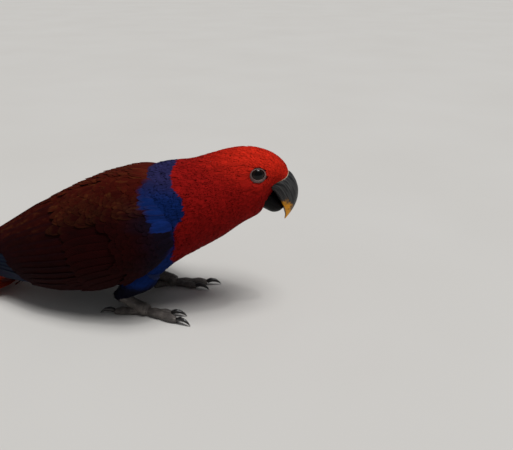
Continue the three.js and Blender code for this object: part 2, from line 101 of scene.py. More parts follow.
# The folded wing: its low, middle and top guide lines from the bend to the tip, as x, y, z
WING_LINES = tuple(
    ahead(rows)
    for rows in (
        [
            [24, 33, 61], [4, 37.5, 44.5], [-28, 38, 28], [-62, 35, 22.8],
            [-95, 29, 21.4], [-130, 21, 22.4], [-170, 12, 28],
        ],
        [
            [30, 38, 81], [12, 46.5, 77], [-26, 48, 68], [-61, 43, 59],
            [-95, 33, 49], [-131, 21, 41], [-171, 12.5, 36],
        ],
        [
            [17, 24, 117], [0, 17, 120], [-31, 10, 113.5], [-62, 5.5, 101],
            [-95, 3.5, 83], [-131, 3, 60], [-172, 4, 42],
        ],
    )
)

# The tail: x, z, half width
TAIL_ROWS = ahead(
    [
        [-98, 34, 9],
        [-112, 23, 11.5],
        [-127, 12.5, 14],
        [-145, 5.4, 16.5],
        [-165, 1.2, 19],
        [-186, 0.25, 20.5],
        [-206, 0.2, 21],
    ]
)
TAIL_DROOP = 1.6

# The bill's halves: upper edge x, z, lower edge x, z, half width
UPPER_BILL_ROWS = ahead(
    [
        [103, 119.2, 96, 107, 11],
        [111.2, 119.2, 99.5, 103.5, 11.6],
        [115.9, 113.6, 102.8, 97.8, 10.4],
        [118.4, 106.6, 105, 93.6, 8.9],
        [118.6, 99.6, 106.8, 90, 7.3],
        [116.9, 92.6, 108, 86.8, 5.6],
        [113.4, 85.7, 108.8, 83.2, 3.4],
        [109.5, 79.9, 108.5, 79.7, 0.8],
    ],
    (0, 2),
)
LOWER_BILL_ROWS = ahead(
    [
        [92.5, 105.3, 87.5, 91.8, 10.4],
        [98.8, 103.8, 93, 88.4, 10.2],
        [103.6, 98.8, 98.5, 85.8, 9],
        [106.4, 94.2, 103.4, 86.4, 6.8],
        [107.8, 91, 106.4, 88.8, 3.2],
    ],
    (0, 2),
)

# The eyes
EYE_CENTRE = Vector((86.8 + MIDDLE_X, 14.4, 121.6))
EYE_RADIUS = 6.4
EYE_LOOK = Vector((0.24, 1.0, 0.3))
LID_OPENING = (4.9, 3.95)  # half width and half height
LID_EDGE = (6.3, 5.6)
LID_DROP = 0.9  # how far the outer edge is lower than the opening
LID_TUBE = 0.7
LID_LIFT = 0.2  # how far the opening stands off the eyeball
LID_RIM = 3.45  # how far the outer edge lies out from the eye's middle


# Numbers and shapes


def smooth(x: Array) -> Array:
    """Eases from 0 to 1 as x goes from 0 to 1."""
    x = np.clip(x, 0.0, 1.0)
    return x * x * (3.0 - 2.0 * x)


def spline_rows(rows: Array, shares: Array) -> Array:
    """Finds the smooth rows between the rows of a table.

    Args:
        rows: the table, one row for each step of the shape.
        shares: shares of the table's length, of any shape.

    Returns:
        One row of numbers for each share.
    """
    last = len(rows) - 1
    place = np.clip(shares, 0.0, 1.0) * last
    start = np.minimum(place.astype(int), last - 1)
    f = (place - start)[..., None]
    before, here, after, beyond = (rows[np.clip(start + k, 0, last)] for k in (-1, 0, 1, 2))
    slope_in = (after - before) / 2
    slope_out = (beyond - here) / 2
    f2, f3 = f * f, f * f * f
    return (
        (2 * f3 - 3 * f2 + 1) * here
        + (f3 - 2 * f2 + f) * slope_in
        + (3 * f2 - 2 * f3) * after
        + (f3 - f2) * slope_out
    )


def turned(points: Array) -> Array:
    """Turns points of the straight bird with its neck and head.

    Args:
        points: points in millimetres, in the last axis.

    Returns:
        The turned points.
    """
    share = smooth((points[..., 0] - TURN_START) / TURN_OVER)
    angle = HEAD_TURN * share
    pivot = TURN_START + TURN_OVER / 2
    x, y = points[..., 0] - pivot, points[..., 1]
    cos, sin = np.cos(angle), np.sin(angle)
    return np.stack([pivot + x * cos - y * sin, x * sin + y * cos, points[..., 2]], -1)


def unit(vectors: Array) -> Array:
    """Gives vectors a length of one."""
    return vectors / np.maximum(np.linalg.norm(vectors, axis=-1, keepdims=True), 1e-12)


class Surface:
    """A smooth surface of the bird, with a point for each pair of numbers."""

    step = 0.004
    handed = 1.0

    def point(self, a: Array, b: Array) -> Array:
        """Finds the points at pairs of numbers, in millimetres."""
        raise NotImplementedError

    def bake(self, a: Array, b: Array) -> Array:
        """Lays the surface out flat, as places from 0 to 1."""
        raise NotImplementedError

    def slopes(self, a: Array, b: Array) -> tuple[Array, Array]:
        """Finds how the point moves with each number.

        Args:
            a: first numbers.
            b: second numbers.

        Returns:
            The change of the point for a change of one in a, and in b.
        """
        low, high = np.clip(a - self.step, 0, 1), np.clip(a + self.step, 0, 1)
        da = (self.point(high, b) - self.point(low, b)) / np.maximum(high - low, 1e-9)[..., None]
        db = (self.point(a, b + self.step) - self.point(a, b - self.step)) / (2 * self.step)
        return da, db

    def frame(self, a: Array, b: Array) -> tuple[Array, Array]:
        """Finds the points and the ways out of the surface there."""
        da, db = self.slopes(a, b)
        return self.point(a, b), unit(np.cross(da, db)) * self.handed


class BodySurface(Surface):
    """The outside of torso, neck and head: share of the length, angle from the top."""

    squareness = 0.92
    hollow_depth = 0.38
    hollow_from, hollow_over = 0.75, 0.16
    hollow_level, hollow_reach = 2.1, 0.7

    def hollow(self, a: Array, b: Array) -> Array:
        """Finds how far the face is drawn in round the bill's base, most at the corner of the mouth."""
        level = np.arccos(np.clip(np.cos(b), -1, 1)) - self.hollow_level
        near = np.exp(-((level / self.hollow_reach) ** 2))
        return self.hollow_depth * near * smooth((a - self.hollow_from) / self.hollow_over)

    def point(self, a: Array, b: Array) -> Array:
        """Finds the points at shares of the length and angles from the top.

        Args:
            a: shares of the length.
            b: angles from the top.

        Returns:
            The points in millimetres.
        """
        top_x, top_z, low_x, low_z, half, fullness = np.moveaxis(spline_rows(BODY_ROWS, a), -1, 0)
        rise, aside = (np.sign(w) * np.abs(w) ** self.squareness for w in (np.cos(b), np.sin(b)))
        x = (top_x + low_x) / 2 + (top_x - low_x) / 2 * rise
        y = aside * half * (1 + fullness * np.cos(b)) * (1 - self.hollow(a, b))
        z = (top_z + low_z) / 2 + (top_z - low_z) / 2 * rise
        return turned(np.stack(np.broadcast_arrays(x, y, z), -1))

    def bake(self, a: Array, b: Array) -> Array:
        """Lays the body out flat along its length and around it."""
        return np.stack([a, np.mod(b / (2 * math.pi), 1.0)], -1)


@dataclass
class WingSurface(Surface):
    """The outside of a folded wing: shares of its length and of its height."""

    side: float

    def __post_init__(self) -> None:
        """Faces the surface outwards on either side."""
        self.handed = self.side

    def point(self, a: Array, b: Array) -> Array:
        """Finds the points at shares of the wing's length and height.

        Args:
            a: shares of the length.
            b: shares of the height.

        Returns:
            The points in millimetres.
        """
        low, middle, top = (spline_rows(line, a) for line in WING_LINES)
        b = np.asarray(b)[..., None]
        p = low * ((1 - b) * (1 - 2 * b)) + middle * (4 * b * (1 - b)) + top * (b * (2 * b - 1))
        return p * np.array([1.0, self.side, 1.0])

    def bake(self, a: Array, b: Array) -> Array:
        """Lays the wing out flat along its length and height."""
        return np.stack([a, np.clip(b, -0.1, 1.1) / 1.2 + 0.1], -1)


class BackSurface(Surface):
    """The back between the wings: shares of their length and of the half width."""

    handed = -1.0
    arch = 1.8
    flattening = 0.75  # how much of the arch is gone at the feathers' ends
    flattening_rate = 1.7
    drop = 0.3

    def point(self, a: Array, b: Array) -> Array:
        """Finds the points at shares of the wings' length and of the half width."""
        x, y, z = np.moveaxis(spline_rows(WING_LINES[2], a), -1, 0)
        arch = self.arch * (1 - b**4) * (1 - self.flattening * smooth(a * self.flattening_rate))
        return np.stack(np.broadcast_arrays(x, b * y, z - self.drop + arch), -1)

    def bake(self, a: Array, b: Array) -> Array:
        """Lays the back out flat along its length and width."""
        return np.stack([a, b * 0.4 + 0.5], -1)


class TailSurface(Surface):
    """The tail's middle sheet: shares of its length and of its half width."""

    def point(self, a: Array, b: Array) -> Array:
        """Finds the points at shares of the tail's length and half width."""
        x, z, half = np.moveaxis(spline_rows(TAIL_ROWS, a), -1, 0)
        droop = TAIL_DROOP * b * b * (1 - a)
        return np.stack(np.broadcast_arrays(x, b * half, z - droop), -1)

    def frame(self, a: Array, b: Array) -> tuple[Array, Array]:
        """Finds the points and the ways up from the tail's line."""
        da, _ = self.slopes(a, np.zeros_like(b))
        n = np.stack([da[..., 2], np.zeros_like(da[..., 0]), -da[..., 0]], -1)
        return self.point(a, b), unit(n)

    def bake(self, a: Array, b: Array) -> Array:
        """Lays the tail out flat along its length and width."""
        return np.stack([a, b * 0.4 + 0.5], -1)


@dataclass
class ThighSurface(Surface):
    """A thigh: share of its length from the knee to the heel, angle around it."""

    knee: Array
    heel: Array
    radii: tuple[float, ...] = (11.0, 12.0, 11.0, 8.8, 6.8, 5.4)
    reach: float = 1.04  # where the last ring lies, as a share of the way to the heel
    handed = -1.0

    def point(self, a: Array, b: Array) -> Array:
        """Finds the points at shares of the thigh's length and angles around it.

        Args:
            a: shares of the length.
            b: angles around it.

        Returns:
            The points in millimetres.
        """
        radius = spline_rows(np.array(self.radii)[:, None], a)[..., 0]
        along = unit(self.heel - self.knee)
        across = unit(np.cross(UP, along))
        up = np.cross(along, across)
        a, b = np.asarray(a)[..., None], np.asarray(b)[..., None]
        ring = across * np.cos(b) + up * np.sin(b)
        return self.knee + (self.heel - self.knee) * a * self.reach + ring * radius[..., None]

    def bake(self, a: Array, b: Array) -> Array:
        """Lays the thigh out flat along its length and around it."""
        return np.stack([a, np.mod(b / (2 * math.pi), 1.0)], -1)


# Meshes


def mesh_object(name: str, points: Array, faces: Sequence[Sequence[int]]) -> Piece:
    """Makes a smooth mesh object with its place in its mesh.

    Args:
        name: the piece's name.
        points: the points in millimetres.
        faces: the points' numbers for each face.

    Returns:
        The new object.
    """
    mesh = bpy.data.meshes.new(name)
    mesh.from_pydata(np.asarray(points).reshape(-1, 3) * MM, [], faces)
    mesh.polygons.foreach_set("use_smooth", np.ones(len(mesh.polygons), bool))
    mesh.update()
    piece = bpy.data.objects.new(name, mesh)
    bpy.context.scene.collection.objects.link(piece)
    return piece


def grid_faces(rows: int, columns: int, around: bool) -> Array:
    """Numbers the quads of a grid of points.

    Args:
        rows: rows of points.
        columns: points in each row.
        around: whether each row closes on itself.

    Returns:
        Four numbers for each quad.
    """
    i, j = np.meshgrid(np.arange(rows - 1), np.arange(columns if around else columns - 1), indexing="ij")
    k = (j + 1) % columns
    quads = np.stack([i * columns + j, i * columns + k, (i + 1) * columns + k, (i + 1) * columns + j], -1)
    return quads.reshape(-1, 4)


def tube_mesh(name: str, rings: Array) -> Piece:
    """Joins rings of points into a closed tube with a flat face at each end.

    Args:
        name: the piece's name.
        rings: the rings of points in millimetres.

    Returns:
        The new object.
    """
    count, sides = rings.shape[:2]
    faces = grid_faces(count, sides, around=True).tolist()
    faces.append(list(range(sides))[::-1])
    faces.append([(count - 1) * sides + j for j in range(sides)])
    piece = mesh_object(name, rings, faces)
    face_out(piece)
    return piece


def sheet_mesh(name: str, upper: Array, lower: Array) -> Piece:
    """Joins two grids of points into a closed sheet with a rim.

    Args:
        name: the piece's name.
        upper: the upper grid, in millimetres.
        lower: the lower grid.

    Returns:
        The new object.
    """
    rows, columns = upper.shape[:2]
    top = grid_faces(rows, columns, around=False)
    bottom = top[:, ::-1] + rows * columns
    grid = np.arange(rows * columns).reshape(rows, columns)
    rim = np.concatenate([grid[0, :-1], grid[:-1, -1], grid[-1, :0:-1], grid[:0:-1, 0]])
    following = np.roll(rim, -1)
    wall = np.stack([rim, following, following + rows * columns, rim + rows * columns], -1)
    points = np.concatenate([upper.reshape(-1, 3), lower.reshape(-1, 3)])
    piece = mesh_object(name, points, np.concatenate([top, bottom, wall]).tolist())
    face_out(piece)
    return piece


def pick(*pieces: Piece) -> None:
    """Selects these pieces alone, the last of them active.

    Args:
        *pieces: the pieces.
    """
    bpy.ops.object.select_all(action="DESELECT")
    for piece in pieces:
        piece.select_set(True)
        bpy.context.view_layer.objects.active = piece


def face_out(piece: Piece) -> None:
    """Turns a closed mesh's faces outwards.

    Args:
        piece: the mesh's object.
    """
    pick(piece)
    bpy.ops.object.mode_set(mode="EDIT")
    bpy.ops.mesh.select_all(action="SELECT")
    bpy.ops.mesh.normals_make_consistent(inside=False)
    bpy.ops.object.mode_set(mode="OBJECT")


def apply_modifier(piece: Piece, kind: str, **settings: object) -> None:
    """Adds one modifier to a piece and applies it.

    Args:
        piece: the piece.
        kind: the kind of modifier.
        **settings: its properties.
    """
    pick(piece)
    modifier = piece.modifiers.new(kind.title(), kind)
    for name, value in settings.items():
        setattr(modifier, name, value)
    bpy.ops.object.modifier_apply(modifier=modifier.name)


def joined(name: str, pieces: Sequence[Piece]) -> Piece:
    """Joins pieces into one object of this name.

    Args:
        name: the name.
        pieces: the pieces.

    Returns:
        The new object.
    """
    pick(*pieces)
    bpy.ops.object.join()
    piece = bpy.context.object
    piece.name = piece.data.name = name
    return piece


def points_of(piece: Piece) -> Array:
    """Reads a mesh's points in millimetres."""
    flat = np.zeros(len(piece.data.vertices) * 3)
    piece.data.vertices.foreach_get("co", flat)
    return flat.reshape(-1, 3) / MM


def move_points(piece: Piece, points: Array) -> None:
    """Moves a mesh's points to places in millimetres."""
    piece.data.vertices.foreach_set("co", (points * MM).ravel())


def set_attribute(piece: Piece, name: str, values: Array) -> None:
    """Stores a number or a vector at each point of a mesh."""
    values = np.asarray(values, np.float32)
    kind, key = ("FLOAT_VECTOR", "vector") if values.ndim == 2 else ("FLOAT", "value")
    piece.data.attributes.new(name, kind, "POINT").data.foreach_set(key, values.ravel())


def set_map(piece: Piece, name: str, places: Array) -> None:
    """Stores a UV map from one place for each point of a mesh.

    Args:
        piece: the mesh's object.
        name: the map's name.
        places: one place for each point.
    """
    corners = np.zeros(len(piece.data.loops), np.int32)
    piece.data.loops.foreach_get("vertex_index", corners)
    layer = piece.data.uv_layers.new(name=name)
    layer.uv.foreach_set("vector", np.asarray(places, np.float32)[corners].ravel())


def distances_outside(tree: BVHTree, points: Array) -> Array:
    """Measures how far points lie outside a closed mesh, in millimetres.

    Args:
        tree: the closed mesh's search tree.
        points: the points in millimetres.

    Returns:
        A distance for each point, below zero inside the mesh.
    """
    found = np.zeros(len(points))
    for i, p in enumerate(points * MM):
        near, normal, _, distance = tree.find_nearest(Vector(p))
        inside = (Vector(p) - near).dot(normal) < 0
        found[i] = -distance / MM if inside else distance / MM
    return found


def tree_of(piece: Piece) -> BVHTree:
    """Makes the search tree of a mesh."""
    return BVHTree.FromObject(piece, bpy.context.evaluated_depsgraph_get())


# Finishes


def linear(red: int, green: int, blue: int) -> tuple[float, float, float, float]:
    """Turns screen colour numbers from 0 to 255 into a linear colour."""
    shares = (c / 255 for c in (red, green, blue))
    return tuple(c / 12.92 if c <= 0.04045 else ((c + 0.055) / 1.055) ** 2.4 for c in shares) + (1.0,)


Socket = bpy.types.NodeSocket
Value = Socket | float | tuple


@dataclass
class Nodes:
    """A tree of shader nodes, with a short call for each kind of node used here."""

    tree: bpy.types.NodeTree

    def add(self, kind: str, **settings: object) -> bpy.types.Node:
        """Adds a node and sets its properties.

        Args:
            kind: the kind of node.
            **settings: its properties.

        Returns:
            The new node.
        """
        node = self.tree.nodes.new(kind)
        for name, value in settings.items():
            setattr(node, name, value)
        return node

    def feed(self, socket: Socket, value: Value) -> None:
        """Links a socket, or sets its value.

        Args:
            socket: the socket that is fed.
            value: another node's socket, or a value.
        """
        if isinstance(value, bpy.types.NodeSocket):
            self.tree.links.new(value, socket)
        else:
            socket.default_value = value

    def wired(self, kind: str, values: dict[int | str, Value], output: int = 0, **settings: object) -> Socket:
        """Adds a node and feeds its inputs.

        Args:
            kind: the kind of node.
            values: what goes into its inputs, by their number or name.
            output: the number of the output that is wanted.
            **settings: the node's properties.

        Returns:
            The wanted output.
        """
        node = self.add(kind, **settings)
        for key, value in values.items():
            self.feed(node.inputs[key], value)
        return node.outputs[output]

    def math(self, operation: str, *values: Value, clamp: bool = False) -> Socket:
        """Adds a sum on numbers."""
        return self.wired("ShaderNodeMath", dict(enumerate(values)), operation=operation, use_clamp=clamp)

    def vector(self, operation: str, *values: Value, output: int = 0) -> Socket:
        """Adds a sum on vectors."""
        return self.wired("ShaderNodeVectorMath", dict(enumerate(values)), output, operation=operation)

    def split(self, vector: Socket) -> tuple[Socket, Socket, Socket]:
        """Splits a vector into its three numbers."""
        return tuple(self.wired("ShaderNodeSeparateXYZ", {0: vector}).node.outputs)

    def joined(self, x: Value, y: Value, z: Value) -> Socket:
        """Joins three numbers into a vector."""
        return self.wired("ShaderNodeCombineXYZ", {0: x, 1: y, 2: z})

    def range(self, value: Value, start: float, end: float, low: Value = 0.0, high: Value = 1.0) -> Socket:
        """Eases from low to high as a value goes from start to end."""
        values = dict(enumerate((value, start, end, low, high)))
        return self.wired("ShaderNodeMapRange", values, interpolation_type="SMOOTHSTEP")

    def mix(self, share: Value, first: Value, second: Value, blend: str = "MIX") -> Socket:
        """Mixes two colours."""
        values = {0: share, 6: first, 7: second}
        return self.wired("ShaderNodeMix", values, 2, data_type="RGBA", blend_type=blend)

    def noise(self, vector: Socket, scale: float, detail: float = 2.0, rough: float = 0.5) -> Socket:
        """Adds a cloudy pattern around 0.5."""
        values = {"Vector": vector, "Scale": scale, "Detail": detail, "Roughness": rough}
        return self.wired("ShaderNodeTexNoise", values)

    def times(self, first: Value, second: Value) -> Socket:
        """Multiplies two numbers."""
        return self.math("MULTIPLY", first, second)

    def swing(self, value: Socket, size: float) -> Socket:
        """Turns a number around 0.5 into a factor around 1."""
        return self.math("MULTIPLY_ADD", self.math("SUBTRACT", value, 0.5), size, 1.0)

    def darkened(self, colour: Value, share: Value) -> Socket:
        """Multiplies a colour by a number."""
        return self.mix(1.0, colour, self.joined(share, share, share), blend="MULTIPLY")

    def curve(self, value: Socket, points: Sequence[tuple[float, float]], low: float, high: float) -> Socket:
        """Draws a smooth curve through points, over a number from low to high.

        Args:
            value: the number.
            points: the curve's points.
            low: where it starts.
            high: where it ends.

        Returns:
            The curve's height.
        """
        node = self.add("ShaderNodeFloatCurve")
        ys = [y for _, y in points]
        floor, span = min(ys), max(ys) - min(ys)
        curve = node.mapping.curves[0]
        placed = [((x - low) / (high - low), (y - floor) / span) for x, y in points]
        curve.points[0].location, curve.points[-1].location = placed[0], placed[-1]
        for place in placed[1:-1]:
            curve.points.new(*place)
        node.mapping.update()
        share = self.math("DIVIDE", self.math("SUBTRACT", value, low), high - low, clamp=True)
        self.feed(node.inputs["Value"], share)
        return self.math("MULTIPLY_ADD", node.outputs[0], span, floor)

    def bump(self, height: Socket, strength: float, distance: float) -> Socket:
        """Turns a height into a normal."""
        return self.wired("ShaderNodeBump", {"Height": height, "Strength": strength, "Distance": distance})

    def group(self, tree: bpy.types.NodeTree, **values: Value) -> bpy.types.Node:
        """Places a group, with its inputs by name.

        Args:
            tree: the group.
            **values: what goes into its inputs.

        Returns:
            The group's node.
        """
        node = self.add("ShaderNodeGroup", node_tree=tree)
        for name, value in values.items():
            self.feed(node.inputs[name.replace("_", " ").capitalize()], value)
        return node


def new_group(
    name: str, inputs: dict[str, str], outputs: dict[str, str]
) -> tuple[Nodes, dict[str, Socket], bpy.types.Node]:
    """Starts a shader node group.

    Args:
        name: the group's name.
        inputs: the kind of each input socket, by name.
        outputs: the kind of each output socket, by name.

    Returns:
        The group's nodes, its input sockets by name, and its output node.
    """
    tree = bpy.data.node_groups.new(name, "ShaderNodeTree")
    for in_out, sockets in (("INPUT", inputs), ("OUTPUT", outputs)):
        for socket, kind in sockets.items():
            tree.interface.new_socket(socket, in_out=in_out, socket_type=f"NodeSocket{kind}")
    nodes = Nodes(tree)
    start = nodes.add("NodeGroupInput")
    end = nodes.add("NodeGroupOutput")
    return nodes, {name: start.outputs[name] for name in inputs}, end


@dataclass(frozen=True)
class Markings:
    """The bird's colours by place, shared by its skin and its feathers."""

    scarlet: tuple = linear(142, 17, 14)
    # Partly the head's own brighter red, partly a painted highlight where the top light falls on the crown
    crown: tuple = linear(214, 42, 22)
    # The red low on the head and breast: partly its own deeper tone, partly painted shadow on the sides away
    # from the top light
    deep_red: tuple = linear(108, 9, 9)
    royal: tuple = linear(10, 34, 88)
    violet: tuple = linear(28, 22, 80)
    # Painted sheen: a greyish violet laid over the top of the blue band
    band_top_sheen: tuple = linear(56, 42, 66)
    maroon: tuple = linear(75, 17, 8)
    # The wing's darkest maroon: partly its own tone, partly painted shadow low on the wing
    dusky_and_shade: tuple = linear(28, 1, 1)
    # Brownish streaks high on the wing: partly the feathers' own tone, partly a painted highlight where the
    # top light falls
    olive_and_highlight: tuple = linear(84, 54, 22)
    vent: tuple = linear(110, 28, 20)
    # A blue-black: painted shadow low on the belly and thighs, and the wing's own dark blue-black behind the
    # band
    shadow_and_blue_black: tuple = linear(10, 10, 24)
    # The blue band's edges: height, place along the bird
    front_edge: tuple = (
        (10, 90), (34, 84), (45, 68), (52, 68), (62, 71),
        (72, 74), (83, 75), (100, 82), (118, 71), (135, 69),
    )
    rear_edge: tuple = (
        (25, 56), (40, 63), (52, 63.5), (62, 66), (72, 69), (81, 68),
        (86, 58), (94, 57), (101, 52), (108, 48), (118, 50), (135, 52),
    )
    ragged: float = 9.0
    slope_from: float = 14.0  # behind this place the wing's upper edge falls
    slope: float = 0.42

    def group(self) -> bpy.types.NodeTree:
        """Builds the group that turns a place into the body's and the wing's colour.

        Returns:
            A group with a Place in metres, and a Body colour and a Wing colour.
        """
        outputs = {"Body": "Color", "Wing": "Color"}
        nodes, inputs, end = new_group("Parrot markings", {"Place": "Vector"}, outputs)
        place = nodes.vector("SCALE", inputs["Place"])
        place.node.inputs["Scale"].default_value = 1 / MM
        x, y, z = nodes.split(place)
        cloud = nodes.noise(place, 0.11, detail=3)
        patch = nodes.noise(place, 0.035)
        shift = nodes.times(nodes.math("SUBTRACT", cloud, 0.5), self.ragged)
        front = nodes.curve(z, self.front_edge, self.front_edge[0][0], self.front_edge[-1][0])
        rear = nodes.curve(z, self.rear_edge, self.rear_edge[0][0], self.rear_edge[-1][0])
        past_front = nodes.math("SUBTRACT", nodes.math("ADD", x, nodes.times(shift, 0.35)), front)
        past_rear = nodes.math("SUBTRACT", nodes.math("ADD", x, shift), rear)
        is_red = nodes.range(past_front, -0.5, 0.5)
        is_band = nodes.range(past_rear, -2.5, 1.5)
        across = nodes.joined(nodes.times(x, 0.16), y, z)
        streaks = nodes.noise(across, 0.5, detail=3, rough=0.6)
        grain = nodes.range(streaks, 0.25, 0.75, 0.76, 1.24)
        # The crown's orange red: partly the head's own tone, partly a painted highlight from the top light
        crown = nodes.range(nodes.math("MULTIPLY_ADD", x, 0.35, z), 150, 190)
        # Red darker lower down: partly its own tone, partly painted shadow away from the top light
        red = nodes.mix(nodes.range(z, 55, 118), self.deep_red, self.scarlet)
        red = nodes.mix(crown, red, self.crown)
        blue = nodes.mix(nodes.range(z, 70, 100), self.violet, self.royal)
        blue = nodes.mix(nodes.range(patch, 0.3, 0.7), blue, self.royal)
        # Painted sheen: the blue band turns greyish violet towards the top of the back
        blue = nodes.mix(nodes.range(z, 104, 120, 0.0, 0.5), blue, self.band_top_sheen)
        # Maroon darkening down the wing, along its falling upper edge: partly its own tone, partly painted
        # shadow
        behind = nodes.math("MAXIMUM", nodes.math("SUBTRACT", self.slope_from, x), 0.0)
        height = nodes.math("MULTIPLY_ADD", behind, self.slope, z)
        brightness = nodes.range(nodes.math("MULTIPLY_ADD", shift, 2.0, height), 84, 126)
        maroon = nodes.mix(brightness, self.dusky_and_shade, self.maroon)
        # Brownish streaks rising towards the wing's top: partly the feathers' own tone, partly a painted
        # highlight
        high_up = nodes.range(height, 84, 106, 0.0, 0.34)
        olive_and_highlight = nodes.times(nodes.range(streaks, 0.5, 0.72), high_up)
        maroon = nodes.mix(olive_and_highlight, maroon, self.olive_and_highlight)
        # The wing's own dark blue-black, just behind the band and low down
        low_down = nodes.range(z, 106, 90, 0.0, 0.8)
        near_band = nodes.times(nodes.range(past_rear, -24, -2), low_down)
        maroon = nodes.mix(near_band, maroon, self.shadow_and_blue_black)
        wing = nodes.mix(is_red, nodes.mix(is_band, maroon, blue), red)
        is_belly = nodes.range(nodes.math("ADD", z, shift), 66, 57)
        # Painted shadow: belly and thighs turn blue-black below 34 mm, under the body
        belly = nodes.mix(nodes.range(z, 25, 34), self.shadow_and_blue_black, self.royal)
        belly = nodes.mix(nodes.range(x, -55, -25), self.vent, belly)
        back = nodes.mix(is_belly, nodes.mix(is_band, maroon, blue), belly)
        body = nodes.mix(is_red, back, red)
        nodes.feed(end.inputs["Body"], nodes.darkened(body, grain))
        nodes.feed(end.inputs["Wing"], nodes.darkened(wing, grain))
        return nodes.tree


def vane_group() -> bpy.types.NodeTree:
    """Builds the group that draws a feather's shaft, barbs and edge.

    Returns:
        A group from a place on the vane to a Barbs height and Shaft, Edge and Streak masks.
    """
    outputs = {"Barbs": "Float", "Shaft": "Float", "Edge": "Float", "Streak": "Float"}
    nodes, inputs, end = new_group("Feather vane", {"Vane": "Vector", "Barb count": "Float"}, outputs)
    across, along, _ = nodes.split(inputs["Vane"])
    off_shaft = nodes.math("ABSOLUTE", nodes.math("MULTIPLY_ADD", across, 2.0, -1.0))
    barb_place = nodes.math("SUBTRACT", along, nodes.times(off_shaft, 0.16))
    phase = nodes.times(nodes.times(barb_place, inputs["Barb count"]), 2 * math.pi)
    barbs = nodes.math("MULTIPLY_ADD", nodes.math("SINE", phase), 0.5, 0.5)
    streak_place = nodes.joined(off_shaft, nodes.times(barb_place, 26.0), 0.0)
    nodes.feed(end.inputs["Barbs"], barbs)
    nodes.feed(end.inputs["Shaft"], nodes.range(off_shaft, 0.1, 0.03))
    edge = nodes.math("MAXIMUM", nodes.range(off_shaft, 0.6, 0.95), nodes.range(along, 0.82, 0.98))
    nodes.feed(end.inputs["Edge"], edge)
    nodes.feed(end.inputs["Streak"], nodes.noise(streak_place, 1.6, detail=2))
    return nodes.tree


def new_material(name: str) -> tuple[Nodes, bpy.types.Node]:
    """Starts a material with a Principled shader.

    Args:
        name: the material's name.

    Returns:
        The material's nodes and its shader node.
    """
    material = bpy.data.materials.new(name)
    material.use_nodes = True
    material.node_tree.nodes.clear()
    nodes = Nodes(material.node_tree)
    shader = nodes.add("ShaderNodeBsdfPrincipled")
    end = nodes.add("ShaderNodeOutputMaterial")
    nodes.feed(end.inputs["Surface"], shader.outputs[0])
    return nodes, shader


def material_of(nodes: Nodes) -> bpy.types.Material:
    """Finds the material that a node tree belongs to."""
    return next(m for m in bpy.data.materials if m.use_nodes and m.node_tree == nodes.tree)


class Colouring(Enum):
    """Where a feather takes its colour from."""

    BODY = "Body"
    WING = "Wing"
    OWN = "Own"


@dataclass(frozen=True)
class FeatherFinish:
    """How one kind of feather looks."""

    name: str
    colouring: Colouring = Colouring.BODY
    own: tuple = BLACK
    edge: tuple = BLACK
    edge_share: float = 0.0
    tip: tuple | None = None
    tip_from: float = 0.8
    shaft_share: float = 0.25
    barb_count: float = 16.0
    roughness: float = 0.8
    gloss: float = 0.05
    variety: float = 0.2
    streakiness: float = 0.5
    shaft_darkness: float = 0.55
    bump: float = 0.3
    bump_height: float = 0.0002

    def build(self, markings: bpy.types.NodeTree, vane: bpy.types.NodeTree) -> bpy.types.Material:
        """Builds the material.

        Args:
            markings: the group with the bird's colours by place.
            vane: the group that draws a feather's shaft, barbs and edge.

        Returns:
            The new material.
        """
        nodes, shader = new_material(self.name)
        place = nodes.add("ShaderNodeAttribute", attribute_name=SEEN_PLACE).outputs["Vector"]
        variation = nodes.add("ShaderNodeAttribute", attribute_name=VARIATION).outputs["Fac"]
        vane_map = nodes.add("ShaderNodeUVMap", uv_map=VANE_MAP).outputs[0]
        parts = nodes.group(vane, vane=vane_map, barb_count=self.barb_count)
        if self.colouring is Colouring.OWN:
            colour = self.own
            if self.tip is not None:
                _, along, _ = nodes.split(vane_map)
                colour = nodes.mix(nodes.range(along, self.tip_from, 1.0), self.own, self.tip)
        else:
            colour = nodes.group(markings, place=place).outputs[self.colouring.value]
        tone = nodes.swing(variation, self.variety)
        streak = nodes.swing(parts.outputs["Streak"], self.streakiness)
        colour = nodes.darkened(colour, nodes.times(tone, streak))
        dark = nodes.mix(self.shaft_darkness, colour, BLACK)
        colour = nodes.mix(nodes.times(parts.outputs["Shaft"], self.shaft_share), colour, dark)
        if self.edge_share > 0:
            share = nodes.times(parts.outputs["Edge"], self.edge_share)
            colour = nodes.mix(share, colour, self.edge)
        nodes.feed(shader.inputs["Base Color"], colour)
        shader.inputs["Roughness"].default_value = self.roughness
        shader.inputs["Specular IOR Level"].default_value = self.gloss
        nodes.feed(shader.inputs["Normal"], nodes.bump(parts.outputs["Barbs"], self.bump, self.bump_height))
        return material_of(nodes)


# Feathers

# Outlines: share of the feather's length, share of its half width
CONTOUR_OUTLINE = np.array([[0, 0.4], [0.3, 0.85], [0.6, 1], [0.82, 0.86], [0.94, 0.55], [1, 0.2]])
COVERT_OUTLINE = np.array(
    [[0, 0.5], [0.25, 0.85], [0.5, 1], [0.72, 0.98], [0.87, 0.8], [0.96, 0.5], [1, 0.18]]
)
FLIGHT_OUTLINE = np.array(
    [
        [0, 0.4], [0.1, 0.7], [0.25, 0.9], [0.4, 1], [0.55, 1],
        [0.7, 0.98], [0.82, 0.9], [0.91, 0.72], [0.97, 0.45], [1, 0.15],
    ]
)
TAIL_OUTLINE = np.array(
    [
        [0, 0.5], [0.15, 0.7], [0.3, 0.82], [0.45, 0.92], [0.6, 1],
        [0.75, 1], [0.87, 0.92], [0.95, 0.7], [0.99, 0.4], [1, 0.2],
    ]
)


